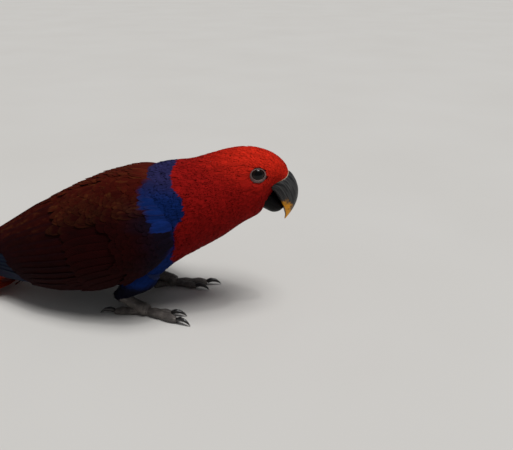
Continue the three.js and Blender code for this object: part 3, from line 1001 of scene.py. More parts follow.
@dataclass
class Feathers:
    """Many feathers on one surface, one row of numbers for each."""

    root: Array
    tip: Array
    half: Array
    root_lift: Array
    tip_lift: Array
    roll: float = 0.0

    def __len__(self) -> int:
        """Counts the feathers."""
        return len(self.root)

    def only(self, kept: Array) -> "Feathers":
        """Keeps some of the feathers."""
        rows = (self.root, self.tip, self.half, self.root_lift, self.tip_lift)
        return Feathers(*(row[kept] for row in rows), self.roll)


@dataclass
class VaneShape:
    """The mesh of one kind of feather."""

    outline: Array
    columns: int
    camber: float  # how far its sides bend down, as a share of its half width
    thickness: float
    fringe: float  # how uneven its tip is, as a share of its length
    ripple: float = 0.04
    levels_out: bool = False  # whether it rises early and then lies level

    def build(self, name: str, surface: Surface, feathers: Feathers, rng: np.random.Generator) -> Piece:
        """Builds many feathers as one mesh of thin closed vanes.

        Args:
            name: the piece's name.
            surface: the surface that the feathers lie on.
            feathers: where each feather starts and ends, and its size.
            rng: the draw for the feathers' small differences.

        Returns:
            The new object, with its maps and attributes.
        """
        count, rows, columns = len(feathers), len(self.outline), self.columns
        shares, widths = self.outline.T
        path = feathers.root[:, None] + (feathers.tip - feathers.root)[:, None] * shares[None, :, None]
        points, normals = surface.frame(path[..., 0], path[..., 1])
        rise = (smooth(shares * 1.3) if self.levels_out else shares)[None, :]
        lift = feathers.root_lift[:, None] + (feathers.tip_lift - feathers.root_lift)[:, None] * rise
        points = points + normals * lift[..., None]
        along = unit(np.gradient(points, axis=1))
        across = unit(np.cross(normals, along))
        sides = np.linspace(-1, 1, columns)
        half = feathers.half[:, None, None] * widths[None, :, None]
        half = half * (1 + self.ripple * rng.normal(size=(count, rows, columns)))
        height = feathers.roll * widths[None, :, None] * sides - self.camber * half * sides**2
        top = points[:, :, None] + across[:, :, None] * (half * sides)[..., None]
        top = top + normals[:, :, None] * height[..., None]
        length = np.linalg.norm(points[:, -1] - points[:, 0], axis=-1)
        loose = rng.normal(size=(count, 1, columns)) * (self.fringe * length)[:, None, None]
        top = top + along[:, :, None] * (loose * smooth(shares * 3 - 2)[None, :, None])[..., None]
        depth = self.thickness * (1 - sides**2) * np.minimum(1, 4 * (1 - shares))[:, None]
        bottom = top - normals[:, :, None] * depth[None, :, :, None]
        return self._mesh(name, surface, feathers, top, bottom, rng)

    def _mesh(
        self, name: str, surface: Surface, feathers: Feathers, top: Array, bottom: Array,
        rng: np.random.Generator
    ) -> Piece:
        """Joins the faces of all the vanes into one mesh, and stores its maps.

        Args:
            name: the piece's name.
            surface: the surface that the feathers lie on.
            feathers: the feathers.
            top: the vanes' upper points.
            bottom: their lower points.
            rng: the draw for each feather's own number.

        Returns:
            The new object.
        """
        count, rows, columns = top.shape[:3]
        grid = np.arange(rows * columns).reshape(rows, columns)
        under = grid.copy()
        inner = (rows - 2) * (columns - 2)
        under[1:-1, 1:-1] = rows * columns + np.arange(inner).reshape(rows - 2, columns - 2)
        faces = []
        for numbers, flip in ((grid, False), (under, True)):
            a, b, c, d = numbers[:-1, :-1], numbers[1:, :-1], numbers[1:, 1:], numbers[:-1, 1:]
            quad = np.stack([a, d, c, b] if flip else [a, b, c, d], -1)
            faces.append(quad.reshape(-1, 4))
        faces = np.concatenate(faces)
        each = rows * columns + inner
        points = np.concatenate([top.reshape(count, -1, 3), bottom[:, 1:-1, 1:-1].reshape(count, -1, 3)], 1)
        numbered = (faces[None] + each * np.arange(count)[:, None, None]).reshape(-1, 4)
        piece = mesh_object(name, points, numbered)
        piece.data.set_sharp_from_angle(angle=RIM_ANGLE)
        side, share = np.meshgrid(np.linspace(0, 1, columns), self.outline[:, 0])
        vane = np.stack([side, share], -1)
        vane = np.concatenate([vane.reshape(-1, 2), vane[1:-1, 1:-1].reshape(-1, 2)])
        spread = surface.bake(feathers.root[:, 0], feathers.root[:, 1]) * 0.98 + 0.01
        set_map(piece, BAKE_MAP, (spread[:, None] + (vane - 0.5)[None] * BAKE_PATCH).reshape(-1, 2))
        set_map(piece, VANE_MAP, np.tile(vane, (count, 1)))
        seen = feathers.root + (feathers.tip - feathers.root) * SEEN_SHARE
        places = surface.point(seen[:, 0], seen[:, 1])[:, None] * (1 - SEEN_OWN) + points * SEEN_OWN
        set_attribute(piece, SEEN_PLACE, places.reshape(-1, 3) * MM)
        set_attribute(piece, VARIATION, np.repeat(rng.random(count), each))
        return piece


@dataclass(frozen=True)
class Growth:
    """How big feathers grow, and how close, along a surface: the first is at its start."""

    at: tuple[float, ...]
    length: tuple[float, ...]
    half: tuple[float, ...]
    spacing: tuple[float, ...]
    depth: tuple[float, ...]
    shift: tuple[float, ...]

    def size(self, name: str, share: Array) -> Array:
        """Finds one of the sizes at shares of the surface's length."""
        values = getattr(self, name)
        places = self.at if len(values) == len(self.at) else (self.at[0], self.at[-1])
        return np.interp(share, places, values)


def ring_places(
    surface: Surface, share: float, start: float, end: float, spacing: float, offset: float
) -> Array:
    """Spaces places evenly across a surface at one share of its length.

    Args:
        surface: the surface.
        share: the share of its length.
        start: the first cross number.
        end: the last cross number.
        spacing: the distance between places, in millimetres.
        offset: the share of a step by which all the places are moved.

    Returns:
        The cross numbers of the places.
    """
    cells = np.linspace(start, end, 160)
    line = surface.point(np.full_like(cells, share), cells)
    lengths = np.concatenate([[0], np.cumsum(np.linalg.norm(np.diff(line, axis=0), axis=1))])
    count = max(2, round(lengths[-1] / spacing))
    wanted = (np.arange(count) + offset % 1.0) / count * lengths[-1]
    return np.interp(wanted, lengths, cells)


def grown(
    surface: Surface, growth: Growth, rng: np.random.Generator, along: tuple[float, float],
    across: tuple[float, float], forward: float, droop: Callable[[Array, Array], Array] | None = None
) -> Feathers:
    """Grows rows of feathers over a surface, each row shifted from the last.

    Args:
        surface: the surface.
        growth: the feathers' sizes along it.
        rng: the draw for the feathers' small differences.
        along: the shares of the surface's length where the rows start and end.
        across: the cross numbers where each row starts and ends.
        forward: 1 where tips lie to greater shares of the length, else -1.
        droop: the turn of the lie at each place, in radians.

    Returns:
        The feathers.
    """
    places = []
    share, offset = along[0], 0.0
    middle = np.array(sum(across) / 2)
    while share < along[1]:
        spacing = float(growth.size("spacing", share))
        ring = ring_places(surface, share, *across, spacing, offset)
        places.append(np.stack([np.full_like(ring, share), ring], -1))
        slope, _ = surface.slopes(np.array(share), middle)
        share += spacing * 0.85 / float(np.linalg.norm(slope))
        offset += 0.5
    root = np.concatenate(places)
    slope_a, slope_b = surface.slopes(root[:, 0], root[:, 1])
    per_a, per_b = np.linalg.norm(slope_a, axis=1), np.maximum(np.linalg.norm(slope_b, axis=1), 1e-6)
    spacing = growth.size("spacing", root[:, 0])
    root[:, 0] += rng.normal(size=len(root)) * 0.13 * spacing / per_a
    root[:, 1] += rng.normal(size=len(root)) * 0.13 * spacing / per_b
    length = growth.size("length", root[:, 0]) * (1 + 0.12 * rng.normal(size=len(root)))
    lie = rng.normal(size=len(root)) * 0.09
    if droop is not None:
        lie = lie + droop(root[:, 0], root[:, 1])
    step = np.stack([forward * length * np.cos(lie) / per_a, length * np.sin(lie) / per_b], -1)
    depth, shift = growth.size("depth", root[:, 0]), growth.size("shift", root[:, 0])
    tip_lift = shift + depth * 0.07 * rng.random(len(root))
    half = growth.size("half", root[:, 0]) * (1 + 0.1 * rng.normal(size=len(root)))
    return Feathers(root, root + step, half, shift - depth, tip_lift)


# Sub-assemblies


@dataclass
class Studio:
    """The floor, the lights and the camera."""

    floor_size: float = 30.0
    camera_place: tuple[float, float, float] = (0.1858, -0.3946, 0.2613)
    camera_round: float = 8.0
    camera_down: float = 25.0
    focal_pixels: float = 555.0
    image_width: float = 513.0
    sensor: float = 36.0
    room_strength: float = 0.19
    key_strength: float = 2.3
    key_softness: float = 30.0
    spark_strength: float = 0.3
    spark_softness: float = 4.0
    key_from: tuple[float, float, float] = (0.3, -0.1, 1.0)

    def build(self) -> None:
        """Builds the camera, the floor and the lights."""
        self.build_camera()
        self.build_floor()
        self.build_lights()

    def build_camera(self) -> None:
        """Sets up the camera at the photo's view."""
        camera = bpy.data.cameras.new("camera")
        camera.sensor_width = self.sensor
        camera.sensor_fit = "HORIZONTAL"
        camera.lens = self.focal_pixels / self.image_width * self.sensor
        camera.clip_start = 0.01
        holder = bpy.data.objects.new("camera", camera)
        holder.location = self.camera_place
        holder.rotation_euler = (math.radians(90 - self.camera_down), 0, math.radians(self.camera_round))
        bpy.context.scene.collection.objects.link(holder)
        bpy.context.scene.camera = holder

    def build_floor(self) -> None:
        """Lays a plain pale floor."""
        bpy.ops.object.select_all(action="DESELECT")
        bpy.ops.mesh.primitive_plane_add(size=self.floor_size)
        floor = bpy.context.object
        floor.name = "floor"
        nodes, shader = new_material("Pale floor")
        place = nodes.add("ShaderNodeTexCoord").outputs["Object"]
        colour = nodes.mix(nodes.noise(place, 4.0, detail=3), linear(206, 203, 198), linear(214, 212, 208))
        nodes.feed(shader.inputs["Base Color"], colour)
        shader.inputs["Roughness"].default_value = 0.85
        floor.data.materials.append(material_of(nodes))

    def build_lights(self) -> None:
        """Hangs a broad soft light above the bird, in a pale room."""
        world = bpy.data.worlds.new("studio")
        bpy.context.scene.world = world
        world.use_nodes = True
        background = world.node_tree.nodes["Background"]
        background.inputs["Color"].default_value = linear(226, 228, 232)
        background.inputs["Strength"].default_value = self.room_strength
        bpy.context.scene.view_settings.view_transform = "Standard"
        self.hang_light("key", self.key_strength, self.key_softness)
        self.hang_light("spark", self.spark_strength, self.spark_softness)

    def hang_light(self, name: str, strength: float, softness: float) -> None:
        """Hangs one far light of a softness in degrees.

        Args:
            name: the light's name.
            strength: its strength.
            softness: its width in the sky.
        """
        light = bpy.data.lights.new(name, "SUN")
        light.angle = math.radians(softness)
        light.energy = strength
        holder = bpy.data.objects.new(name, light)
        holder.rotation_euler = Vector(self.key_from).to_track_quat("Z", "Y").to_euler()
        bpy.context.scene.collection.objects.link(holder)


@dataclass
class Bill:
    """The two halves of the bill."""

    sides: int = 40
    rings: int = 44
    ridge_taper: float = 0.28

    def half_mesh(self, name: str, rows: Array, ridge_up: float) -> Piece:
        """Builds one half, with its map from ridge to cutting edge and from base to tip.

        Args:
            name: the piece's name.
            rows: the half's table.
            ridge_up: 1 where the narrow ridge is on top, else -1.

        Returns:
            The new object.
        """
        shares = np.linspace(0, 1, self.rings)
        angles = np.linspace(*FULL_TURN, self.sides, endpoint=False)
        rise, aside = np.cos(angles)[None], np.sin(angles)[None]
        top_x, top_z, low_x, low_z, half = (column[:, None] for column in spline_rows(rows, shares).T)
        x = (top_x + low_x) / 2 + (top_x - low_x) / 2 * rise
        z = (top_z + low_z) / 2 + (top_z - low_z) / 2 * rise
        y = aside * (half * (1 - self.ridge_taper * rise * ridge_up))
        piece = tube_mesh(name, turned(np.stack(np.broadcast_arrays(x, y, z), -1)))
        down = (1 - np.cos(angles) * ridge_up) / 2
        set_map(piece, VANE_MAP, np.stack(np.meshgrid(down, shares), -1).reshape(-1, 2))
        return piece


@dataclass(frozen=True)
class BillFinish:
    """Dark horn with a pale cutting edge and tip, as on a young bird."""

    dark: tuple = linear(22, 22, 24)
    grey: tuple = linear(74, 74, 74)
    yellow: tuple = linear(238, 160, 14)
    # Painted highlight: a pale line along the upper bill's base, where the feathers meet it
    pale: tuple = linear(190, 172, 140)
    yellow_share: float = 1.0
    gloss: float = 0.2

    def build(self, name: str) -> bpy.types.Material:
        """Builds the material for one half of the bill.

        Args:
            name: the material's name.

        Returns:
            The new material.
        """
        nodes, shader = new_material(name)
        place = nodes.add("ShaderNodeTexCoord").outputs["Object"]
        bill = nodes.add("ShaderNodeUVMap", uv_map=VANE_MAP).outputs[0]
        feather_line = nodes.add("ShaderNodeAttribute", attribute_name=PAST_FEATHERS).outputs["Fac"]
        down, along, _ = nodes.split(bill)
        cloud = nodes.noise(place, 260.0, detail=4, rough=0.6)
        growth = nodes.noise(nodes.joined(nodes.times(down, 7.0), along, 0.0), 3.0, detail=3)
        greyness = nodes.times(nodes.range(growth, 0.35, 0.7), nodes.range(along, 0.8, 0.2))
        colour = nodes.mix(greyness, self.dark, self.grey)
        reach = nodes.math("ADD", along, nodes.math("MULTIPLY_ADD", down, 0.9, nodes.times(cloud, 0.9)))
        amount = nodes.times(nodes.range(reach, 1.38, 1.72), nodes.range(along, 0.28, 0.46))
        colour = nodes.mix(nodes.times(amount, self.yellow_share), colour, self.yellow)
        colour = nodes.mix(nodes.range(down, 0.84, 0.93), colour, self.dark)
        # Painted highlight: pale along the feather line on the top of the upper bill
        base = nodes.times(nodes.range(feather_line, -0.3, -0.6), nodes.range(down, 0.5, 0.35))
        base = nodes.times(base, self.yellow_share)
        colour = nodes.mix(base, colour, self.pale)
        nodes.feed(shader.inputs["Base Color"], colour)
        nodes.feed(shader.inputs["Roughness"], nodes.range(cloud, 0.2, 0.8, 0.3, 0.46))
        shader.inputs["Specular IOR Level"].default_value = self.gloss
        shader.inputs["Coat Weight"].default_value = self.gloss * 0.4
        shader.inputs["Coat Roughness"].default_value = 0.2
        nodes.feed(shader.inputs["Normal"], nodes.bump(growth, 0.3, 0.0003))
        return material_of(nodes)


LOWER_BILL_FINISH = BillFinish(linear(8, 7, 8), linear(20, 18, 18), yellow_share=0.0, gloss=0.05)


@dataclass(frozen=True)
class EyeFinish:
    """A dark wet eye with a brown iris round its pupil."""

    iris: tuple = linear(34, 18, 11)
    pupil: tuple = linear(6, 5, 6)
    rim: tuple = linear(18, 12, 12)
    pupil_angle: float = 0.46
    iris_angle: float = 0.66

    def build(self, name: str, centre: Vector, look: Vector) -> bpy.types.Material:
        """Builds the material of one eye.

        Args:
            name: the material's name.
            centre: the eye's middle, in metres.
            look: the way that it faces.

        Returns:
            The new material.
        """
        nodes, shader = new_material(name)
        place = nodes.add("ShaderNodeTexCoord").outputs["Object"]
        out = nodes.vector("NORMALIZE", nodes.vector("SUBTRACT", place, tuple(centre)))
        facing = nodes.vector("DOT_PRODUCT", out, tuple(look), output=1)
        angle = nodes.math("ARCCOSINE", facing)
        fibres = nodes.noise(place, 2400.0, detail=3)
        iris = nodes.mix(nodes.range(fibres, 0.3, 0.7), self.rim, self.iris)
        colour = nodes.mix(nodes.range(angle, self.pupil_angle, self.pupil_angle + 0.05), self.pupil, iris)
        colour = nodes.mix(nodes.range(angle, self.iris_angle, self.iris_angle + 0.08), colour, self.rim)
        nodes.feed(shader.inputs["Base Color"], colour)
        shader.inputs["Roughness"].default_value = 0.2
        shader.inputs["Specular IOR Level"].default_value = 0.05
        shader.inputs["Coat Weight"].default_value = 0.35
        shader.inputs["Coat Roughness"].default_value = 0.02
        nodes.feed(shader.inputs["Normal"], nodes.bump(fibres, 0.05, 0.0001))
        return material_of(nodes)


@dataclass(frozen=True)
class SkinFinish:
    """Bare grey skin of the feet and lids, with fine creases and scales."""

    name: str
    base: tuple
    crease: tuple
    cell_scale: float = 900.0
    roughness: float = 0.55
    depth: float = 0.0003

    def build(self) -> bpy.types.Material:
        """Builds the material.

        Returns:
            The new material.
        """
        nodes, shader = new_material(self.name)
        place = nodes.add("ShaderNodeTexCoord").outputs["Object"]
        cells = nodes.add("ShaderNodeTexVoronoi", feature="DISTANCE_TO_EDGE")
        nodes.feed(cells.inputs["Vector"], place)
        cells.inputs["Scale"].default_value = self.cell_scale
        scale = nodes.range(cells.outputs["Distance"], 0.0, 0.16)
        cloud = nodes.noise(place, 180.0, detail=4)
        tone = nodes.mix(nodes.range(cloud, 0.3, 0.75), self.crease, self.base)
        colour = nodes.mix(scale, self.crease, tone)
        nodes.feed(shader.inputs["Base Color"], colour)
        roughness = nodes.range(cloud, 0.2, 0.8, self.roughness - 0.1, self.roughness)
        nodes.feed(shader.inputs["Roughness"], roughness)
        nodes.feed(shader.inputs["Normal"], nodes.bump(scale, 0.7, self.depth))
        return material_of(nodes)


@dataclass(frozen=True)
class ClawFinish:
    """Glossy black horn with faint streaks."""

    dark: tuple = linear(20, 18, 19)
    worn: tuple = linear(52, 47, 44)

    def build(self) -> bpy.types.Material:
        """Builds the material.

        Returns:
            The new material.
        """
        nodes, shader = new_material("Claw horn")
        place = nodes.add("ShaderNodeTexCoord").outputs["Object"]
        streaks = nodes.noise(place, 700.0, detail=3)
        colour = nodes.mix(nodes.range(streaks, 0.4, 0.8), self.dark, self.worn)
        nodes.feed(shader.inputs["Base Color"], colour)
        nodes.feed(shader.inputs["Roughness"], nodes.range(streaks, 0.2, 0.8, 0.25, 0.45))
        shader.inputs["Coat Weight"].default_value = 0.3
        nodes.feed(shader.inputs["Normal"], nodes.bump(streaks, 0.15, 0.0002))
        return material_of(nodes)


@dataclass
class Eye:
    """One eye and the ring of bare lids round it."""

    side: float
    centre: Vector = field(init=False)
    look: Vector = field(init=False)
    wrinkles: float = 26.0
    wrinkle_height: float = 0.05
    press_radius: float = 14.0  # how far round the eye the face is pressed in
    press_fade: float = 4.0
    press_share: float = 0.85
    press_slope: float = 0.55

    def __post_init__(self) -> None:
        """Places the eye in the turned head."""
        straight = np.array([EYE_CENTRE.x, EYE_CENTRE.y * self.side, EYE_CENTRE.z])
        ahead_of = straight + np.array([EYE_LOOK.x, EYE_LOOK.y * self.side, EYE_LOOK.z])
        here, there = (Vector(turned(p)) for p in (straight, ahead_of))
        self.centre = here * MM
        self.look = (there - here).normalized()

    @property
    def axes(self) -> tuple[Array, Array, Array]:
        """Finds the ways across, up and out of the eye."""
        out = np.array(self.look)
        across = unit(np.cross(UP, out))
        return across, np.cross(out, across), out

    @property
    def lid_centre(self) -> Array:
        """Finds the middle of the lids' outer edge, in millimetres."""
        return np.array(self.centre) / MM - self.axes[1] * LID_DROP

    def build_ball(self, name: str) -> Piece:
        """Builds the eyeball.

        Args:
            name: the piece's name.

        Returns:
            The new object.
        """
        bpy.ops.object.select_all(action="DESELECT")
        turn = self.look.to_track_quat("Z", "Y").to_euler()
        bpy.ops.mesh.primitive_uv_sphere_add(
            segments=48, ring_count=32, radius=EYE_RADIUS * MM, location=self.centre, rotation=turn
        )
        ball = bpy.context.object
        ball.name = ball.data.name = name
        bpy.ops.object.shade_smooth()
        bpy.ops.object.transform_apply(location=True, rotation=True, scale=True)
        return ball

    def build_lids(self, name: str) -> Piece:
        """Builds the ring of lids, widest below the eye, from a plain ring drawn out to its two edges.

        Args:
            name: the piece's name.

        Returns:
            The new object.
        """
        bpy.ops.object.select_all(action="DESELECT")
        bpy.ops.mesh.primitive_torus_add(
            major_radius=1.0, minor_radius=0.5, major_segments=112, minor_segments=24
        )
        lids = bpy.context.object
        lids.name = lids.data.name = name
        bpy.ops.object.shade_smooth()
        x, y, z = (points_of(lids) * MM).T
        radius = np.hypot(x, y)
        share = (radius - 0.5)[:, None]
        way = np.stack([x, y], -1) / radius[:, None]
        inner = way * np.array(LID_OPENING)
        outer = way * np.array(LID_EDGE) - np.array([0.0, LID_DROP])
        wrinkle = self.wrinkle_height * np.sin(self.wrinkles * share[:, 0]) * (z > 0)
        flat = inner + (outer - inner) * share
        height = np.sqrt(EYE_RADIUS**2 - np.sum(inner**2, axis=1)) + LID_LIFT
        out = height + (LID_RIM - height) * share[:, 0] + (2 * z + wrinkle) * LID_TUBE
        across, up, forward = self.axes
        points = flat[:, :1] * across + flat[:, 1:] * up + out[:, None] * forward
        lids.data.vertices.foreach_set("co", (points * MM + np.array(self.centre)).ravel())
        face_out(lids)
        return lids

    def pressed(self, points: Array) -> Array:
        """Presses points in round the eye, so that its lids stand clear of them.

        Args:
            points: the points in millimetres.

        Returns:
            The pressed points.
        """
        off = points - self.lid_centre
        forward = off @ np.array(self.look)
        aside = np.linalg.norm(off - forward[..., None] * np.array(self.look), axis=-1)
        limit = LID_RIM + np.maximum(aside - LID_EDGE[1], 0) * self.press_slope
        near = (forward > 0) & (aside < self.press_radius)
        excess = np.where(near, np.maximum(forward - limit, 0), 0)
        fade = smooth((self.press_radius - aside) / self.press_fade)
        return points - np.array(self.look) * (self.press_share * excess * fade)[..., None]

    def clear_of(self, points: Array, radius: float) -> Array:
        """Tells which points lie off the eye by a radius, or behind it.

        Args:
            points: the points in millimetres.
            radius: the radius in millimetres.

        Returns:
            One answer for each point.
        """
        off = points - self.lid_centre
        look = np.array(self.look)
        forward = off @ look
        return (forward < 0) | (np.linalg.norm(off - forward[:, None] * look, axis=1) > radius)


@dataclass(frozen=True)
class Toe:
    """One toe's direction, in degrees out from straight ahead, and its size."""

    name: str
    out: float
    length: float
    radius: float


TOES = (
    Toe("inner_front", -8, 23, 3.1),
    Toe("outer_front", 10, 31, 3.4),
    Toe("outer_back", 166, 25, 3.3),
    Toe("inner_back", -150, 17, 3.0),
)


@dataclass
class Leg:
    """One leg: its thigh's line, its scaly lower leg, its toes and claws."""

    side: float
    foot: tuple[float, float]
    yaw: float
    heel_back: float = 21.0
    heel_height: float = 15.0
    knee_ahead: float = 8.0
    knee_height: float = 41.0
    knee_inward: float = 3.0
    pad_height: float = 8.4
    shank_at: tuple[float, ...] = (0.0, 0.3, 0.55, 0.8, 1.0, 1.18)
    shank_radii: tuple[float, ...] = (4.9, 4.4, 4.3, 5.0, 5.8, 4.4)
    shank_rings: int = 22
    shank_scales: int = 9
    shank_relief: float = 0.025
    toe_at: tuple[float, ...] = (0.02, 0.1, 0.38, 0.55, 0.76, 0.9, 1)
    toe_bulges: tuple[float, ...] = (0.8, 0.9, 1.06, 0.9, 1.04, 0.86, 0.6)
    toe_rings: int = 40
    toe_height: float = 0.86  # of its middle line, as a share of its radius
    scute_length: float = 2.1
    scute_relief: float = 0.035
    claw_length: float = 12.0
    claw_radius: float = 1.9
    claw_at: tuple[float, ...] = (0, 0.25, 0.6, 0.85, 1)
    claw_heights: tuple[float, ...] = (3.2, 4.7, 4.3, 2.5, 0.7)
    claw_taper: tuple[float, ...] = (1, 1, 0.74, 0.42, 0.12)
    claw_rings: int = 14
    claw_sides: int = 16
    limb_sides: int = 20
    joint_gap: float = 0.3

    @property
    def middle(self) -> Array:
        """Finds the middle of the foot on the floor."""
        return np.array([self.foot[0] + MIDDLE_X, self.foot[1], 0.0])

    @property
    def heel(self) -> Array:
        """Finds the heel joint."""
        turn = math.radians(self.yaw)
        back = np.array([math.cos(turn), math.sin(turn), 0.0]) * self.heel_back
        return self.middle - back + np.array([0.0, 0.0, self.heel_height])

    @property
    def knee(self) -> Array:
        """Finds the knee, inside the flank."""
        return self.middle + np.array([self.knee_ahead, -self.side * self.knee_inward, self.knee_height])

    def thigh(self) -> ThighSurface:
        """Finds the thigh's surface."""
        return ThighSurface(self.knee, self.heel)

    def build_tarsus(self, name: str) -> Piece:
        """Builds the scaly lower leg and the ball of the foot.

        Args:
            name: the piece's name.

        Returns:
            The new object.
        """
        foot = self.middle + np.array([0.0, 0.0, self.pad_height / 2])
        shares = np.linspace(0.0, self.shank_at[-1], self.shank_rings)
        radii = np.interp(shares, self.shank_at, self.shank_radii)
        radii = radii * (1 + self.shank_relief * np.cos(shares * 2 * math.pi * self.shank_scales))
        line = self.heel + (foot - self.heel) * shares[:, None]
        line[:, 2] = np.maximum(line[:, 2], foot[2])
        return drawn_limb(name, line, radii, self.limb_sides)

    def build_toe(self, name: str, toe: Toe) -> Piece:
        """Builds one toe with its rows of scutes, flat underneath.

        Args:
            name: the piece's name.
            toe: the toe.

        Returns:
            The new object.
        """
        shares = np.linspace(self.toe_at[0], 1.0, self.toe_rings)
        bulge = np.interp(shares, self.toe_at, self.toe_bulges)
        scutes = round(toe.length / self.scute_length)
        radii = toe.radius * bulge * (1 + self.scute_relief * np.abs(np.cos(shares * math.pi * scutes)))
        line = self.toe_line(toe, shares * toe.length, toe.radius * bulge * self.toe_height)
        return drawn_limb(name, line, radii, self.limb_sides)

    def build_claw(self, name: str, toe: Toe) -> Piece:
        """Builds one curved claw.

        Args:
            name: the piece's name.
            toe: the toe that it ends.

        Returns:
            The new object.
        """
        shares = np.linspace(0, 1, self.claw_rings)
        height = np.interp(shares, self.claw_at, self.claw_heights)
        radii = self.claw_radius * np.interp(shares, self.claw_at, self.claw_taper)
        start = toe.length + self.joint_gap
        line = self.toe_line(toe, start + shares * self.claw_length, height)
        return drawn_limb(name, line, radii, self.claw_sides)

    def toe_line(self, toe: Toe, reach: Array, height: Array) -> Array:
        """Finds points along a toe's line at distances from the foot and at heights."""
        turn = math.radians(self.yaw + self.side * toe.out)
        along = np.array([math.cos(turn), math.sin(turn), 0.0])
        return self.middle + along * reach[:, None] + UP * height[:, None]


def drawn_limb(name: str, line: Array, radii: Array, sides: int) -> Piece:
    """Draws a round limb along a line, laid flat where it meets the floor.

    Args:
        name: the piece's name.
        line: the points of its middle, in millimetres.
        radii: its radius at each.
        sides: the points round it.

    Returns:
        The new object.
    """
    along = unit(np.gradient(line, axis=0))
    across = unit(np.cross(UP, along))
    up = np.cross(along, across)
    angles = 2 * math.pi * (np.arange(sides) + 0.5) / sides
    ring = across[:, None] * np.cos(angles)[None, :, None] + up[:, None] * np.sin(angles)[None, :, None]
    rings = line[:, None] + ring * radii[:, None, None]
    rings[..., 2] = np.maximum(rings[..., 2], SOLE_HEIGHT)
    return tube_mesh(name, rings)


@dataclass
class Skin:
    """The bird's one skin, under all its feathers."""

    depth_at: tuple[float, ...] = (0.0, 0.05, 0.4, 0.5, 0.66, 0.74, 0.9, 1.0)
    depths: tuple[float, ...] = (1.5, 1.9, 1.9, 3.6, 3.4, 2.0, 2.0, 0.6)
    nape_at: tuple[float, ...] = (0.3, 0.38, 0.46, 0.56)
    nape_depth: float = 2.6  # how much deeper the skin lies on top of the shoulders
    voxel: float = 1.3
    smoothing: float = 0.5
    smoothings: int = 6
    rings: int = 90
    sides: int = 64
    body_end: float = 0.992
    wing_along: tuple[float, float] = (0.03, 0.62)
    wing_across: tuple[float, float] = (0.1, 0.92)
    wing_depth: float = 3.2
    wing_thickness: float = 10.0
    wing_thinning: float = 7.0
    thigh_depth: float = 1.6
    tail_end: float = 0.3
    tail_width: float = 0.8
    tail_thickness: float = 3.2
    tail_thinning: float = 5.0
    tail_underside: float = 0.8  # how thick it is below its sheet, as a share of that above

    def build(
        self, body: BodySurface, wings: Sequence[WingSurface], thighs: Sequence[ThighSurface],
        eyes: Sequence[Eye]
    ) -> Piece:
        """Builds the skin of body, wings, thighs and tail as one closed mesh.

        Args:
            body: the body's outside.
            wings: the wings' outsides.
            thighs: the thighs' outsides.
            eyes: the eyes, each in a shallow socket.

        Returns:
            The new object.
        """
        pieces = [self.body_core(body), self.tail_core()]
        pieces += [self.wing_core(wing) for wing in wings]
        pieces += [self.thigh_core(thigh) for thigh in thighs]
        skin = joined("skin", pieces)
        apply_modifier(skin, "REMESH", mode="VOXEL", voxel_size=self.voxel * MM, use_smooth_shade=True)
        apply_modifier(skin, "SMOOTH", factor=self.smoothing, iterations=self.smoothings)
        points = points_of(skin)
        for eye in eyes:
            points = eye.pressed(points)
        move_points(skin, points)
        return skin

    def body_core(self, body: BodySurface) -> Piece:
        """Builds the inside of torso, neck and head.

        Args:
            body: the body's outside.

        Returns:
            The new object.
        """
        shares = np.linspace(0, self.body_end, self.rings)
        angles = np.linspace(*FULL_TURN, self.sides, endpoint=False)
        a, b = np.meshgrid(shares, angles, indexing="ij")
        points, normals = body.frame(a, b)
        nape = self.nape_depth * np.interp(a, self.nape_at, (0, 1, 1, 0)) * np.maximum(np.cos(b), 0)
        depth = np.interp(a, self.depth_at, self.depths) + nape
        return tube_mesh("body_core", points - normals * depth[..., None])

    def wing_core(self, wing: WingSurface) -> Piece:
        """Builds the inside of one folded wing.

        Args:
            wing: the wing's outside.

        Returns:
            The new object.
        """
        shares, heights = np.linspace(*self.wing_along, 30), np.linspace(*self.wing_across, 16)
        a, b = np.meshgrid(shares, heights, indexing="ij")
        points, normals = wing.frame(a, b)
        depth = self.wing_thickness - self.wing_thinning * smooth(a * 1.4)
        outer = points - normals * self.wing_depth
        return sheet_mesh("wing_core", outer, outer - normals * depth[..., None])

    def thigh_core(self, thigh: ThighSurface) -> Piece:
        """Builds the inside of one thigh.

        Args:
            thigh: the thigh's outside.

        Returns:
            The new object.
        """
        angles = np.linspace(*FULL_TURN, 32, endpoint=False)
        a, b = np.meshgrid(np.linspace(0, 0.99, 20), angles, indexing="ij")
        points, normals = thigh.frame(a, b)
        return tube_mesh("thigh_core", points - normals * self.thigh_depth)

    def tail_core(self) -> Piece:
        """Builds the root of the tail.

        Returns:
            The new object.
        """
        places = np.linspace(-self.tail_width, self.tail_width, 10)
        a, b = np.meshgrid(np.linspace(0, self.tail_end, 12), places, indexing="ij")
        points, normals = TailSurface().frame(a, b)
        thick = (self.tail_thickness - self.tail_thinning * a)[..., None]
        under = points - normals * thick * self.tail_underside
        return sheet_mesh("tail_core", points + normals * thick, under)


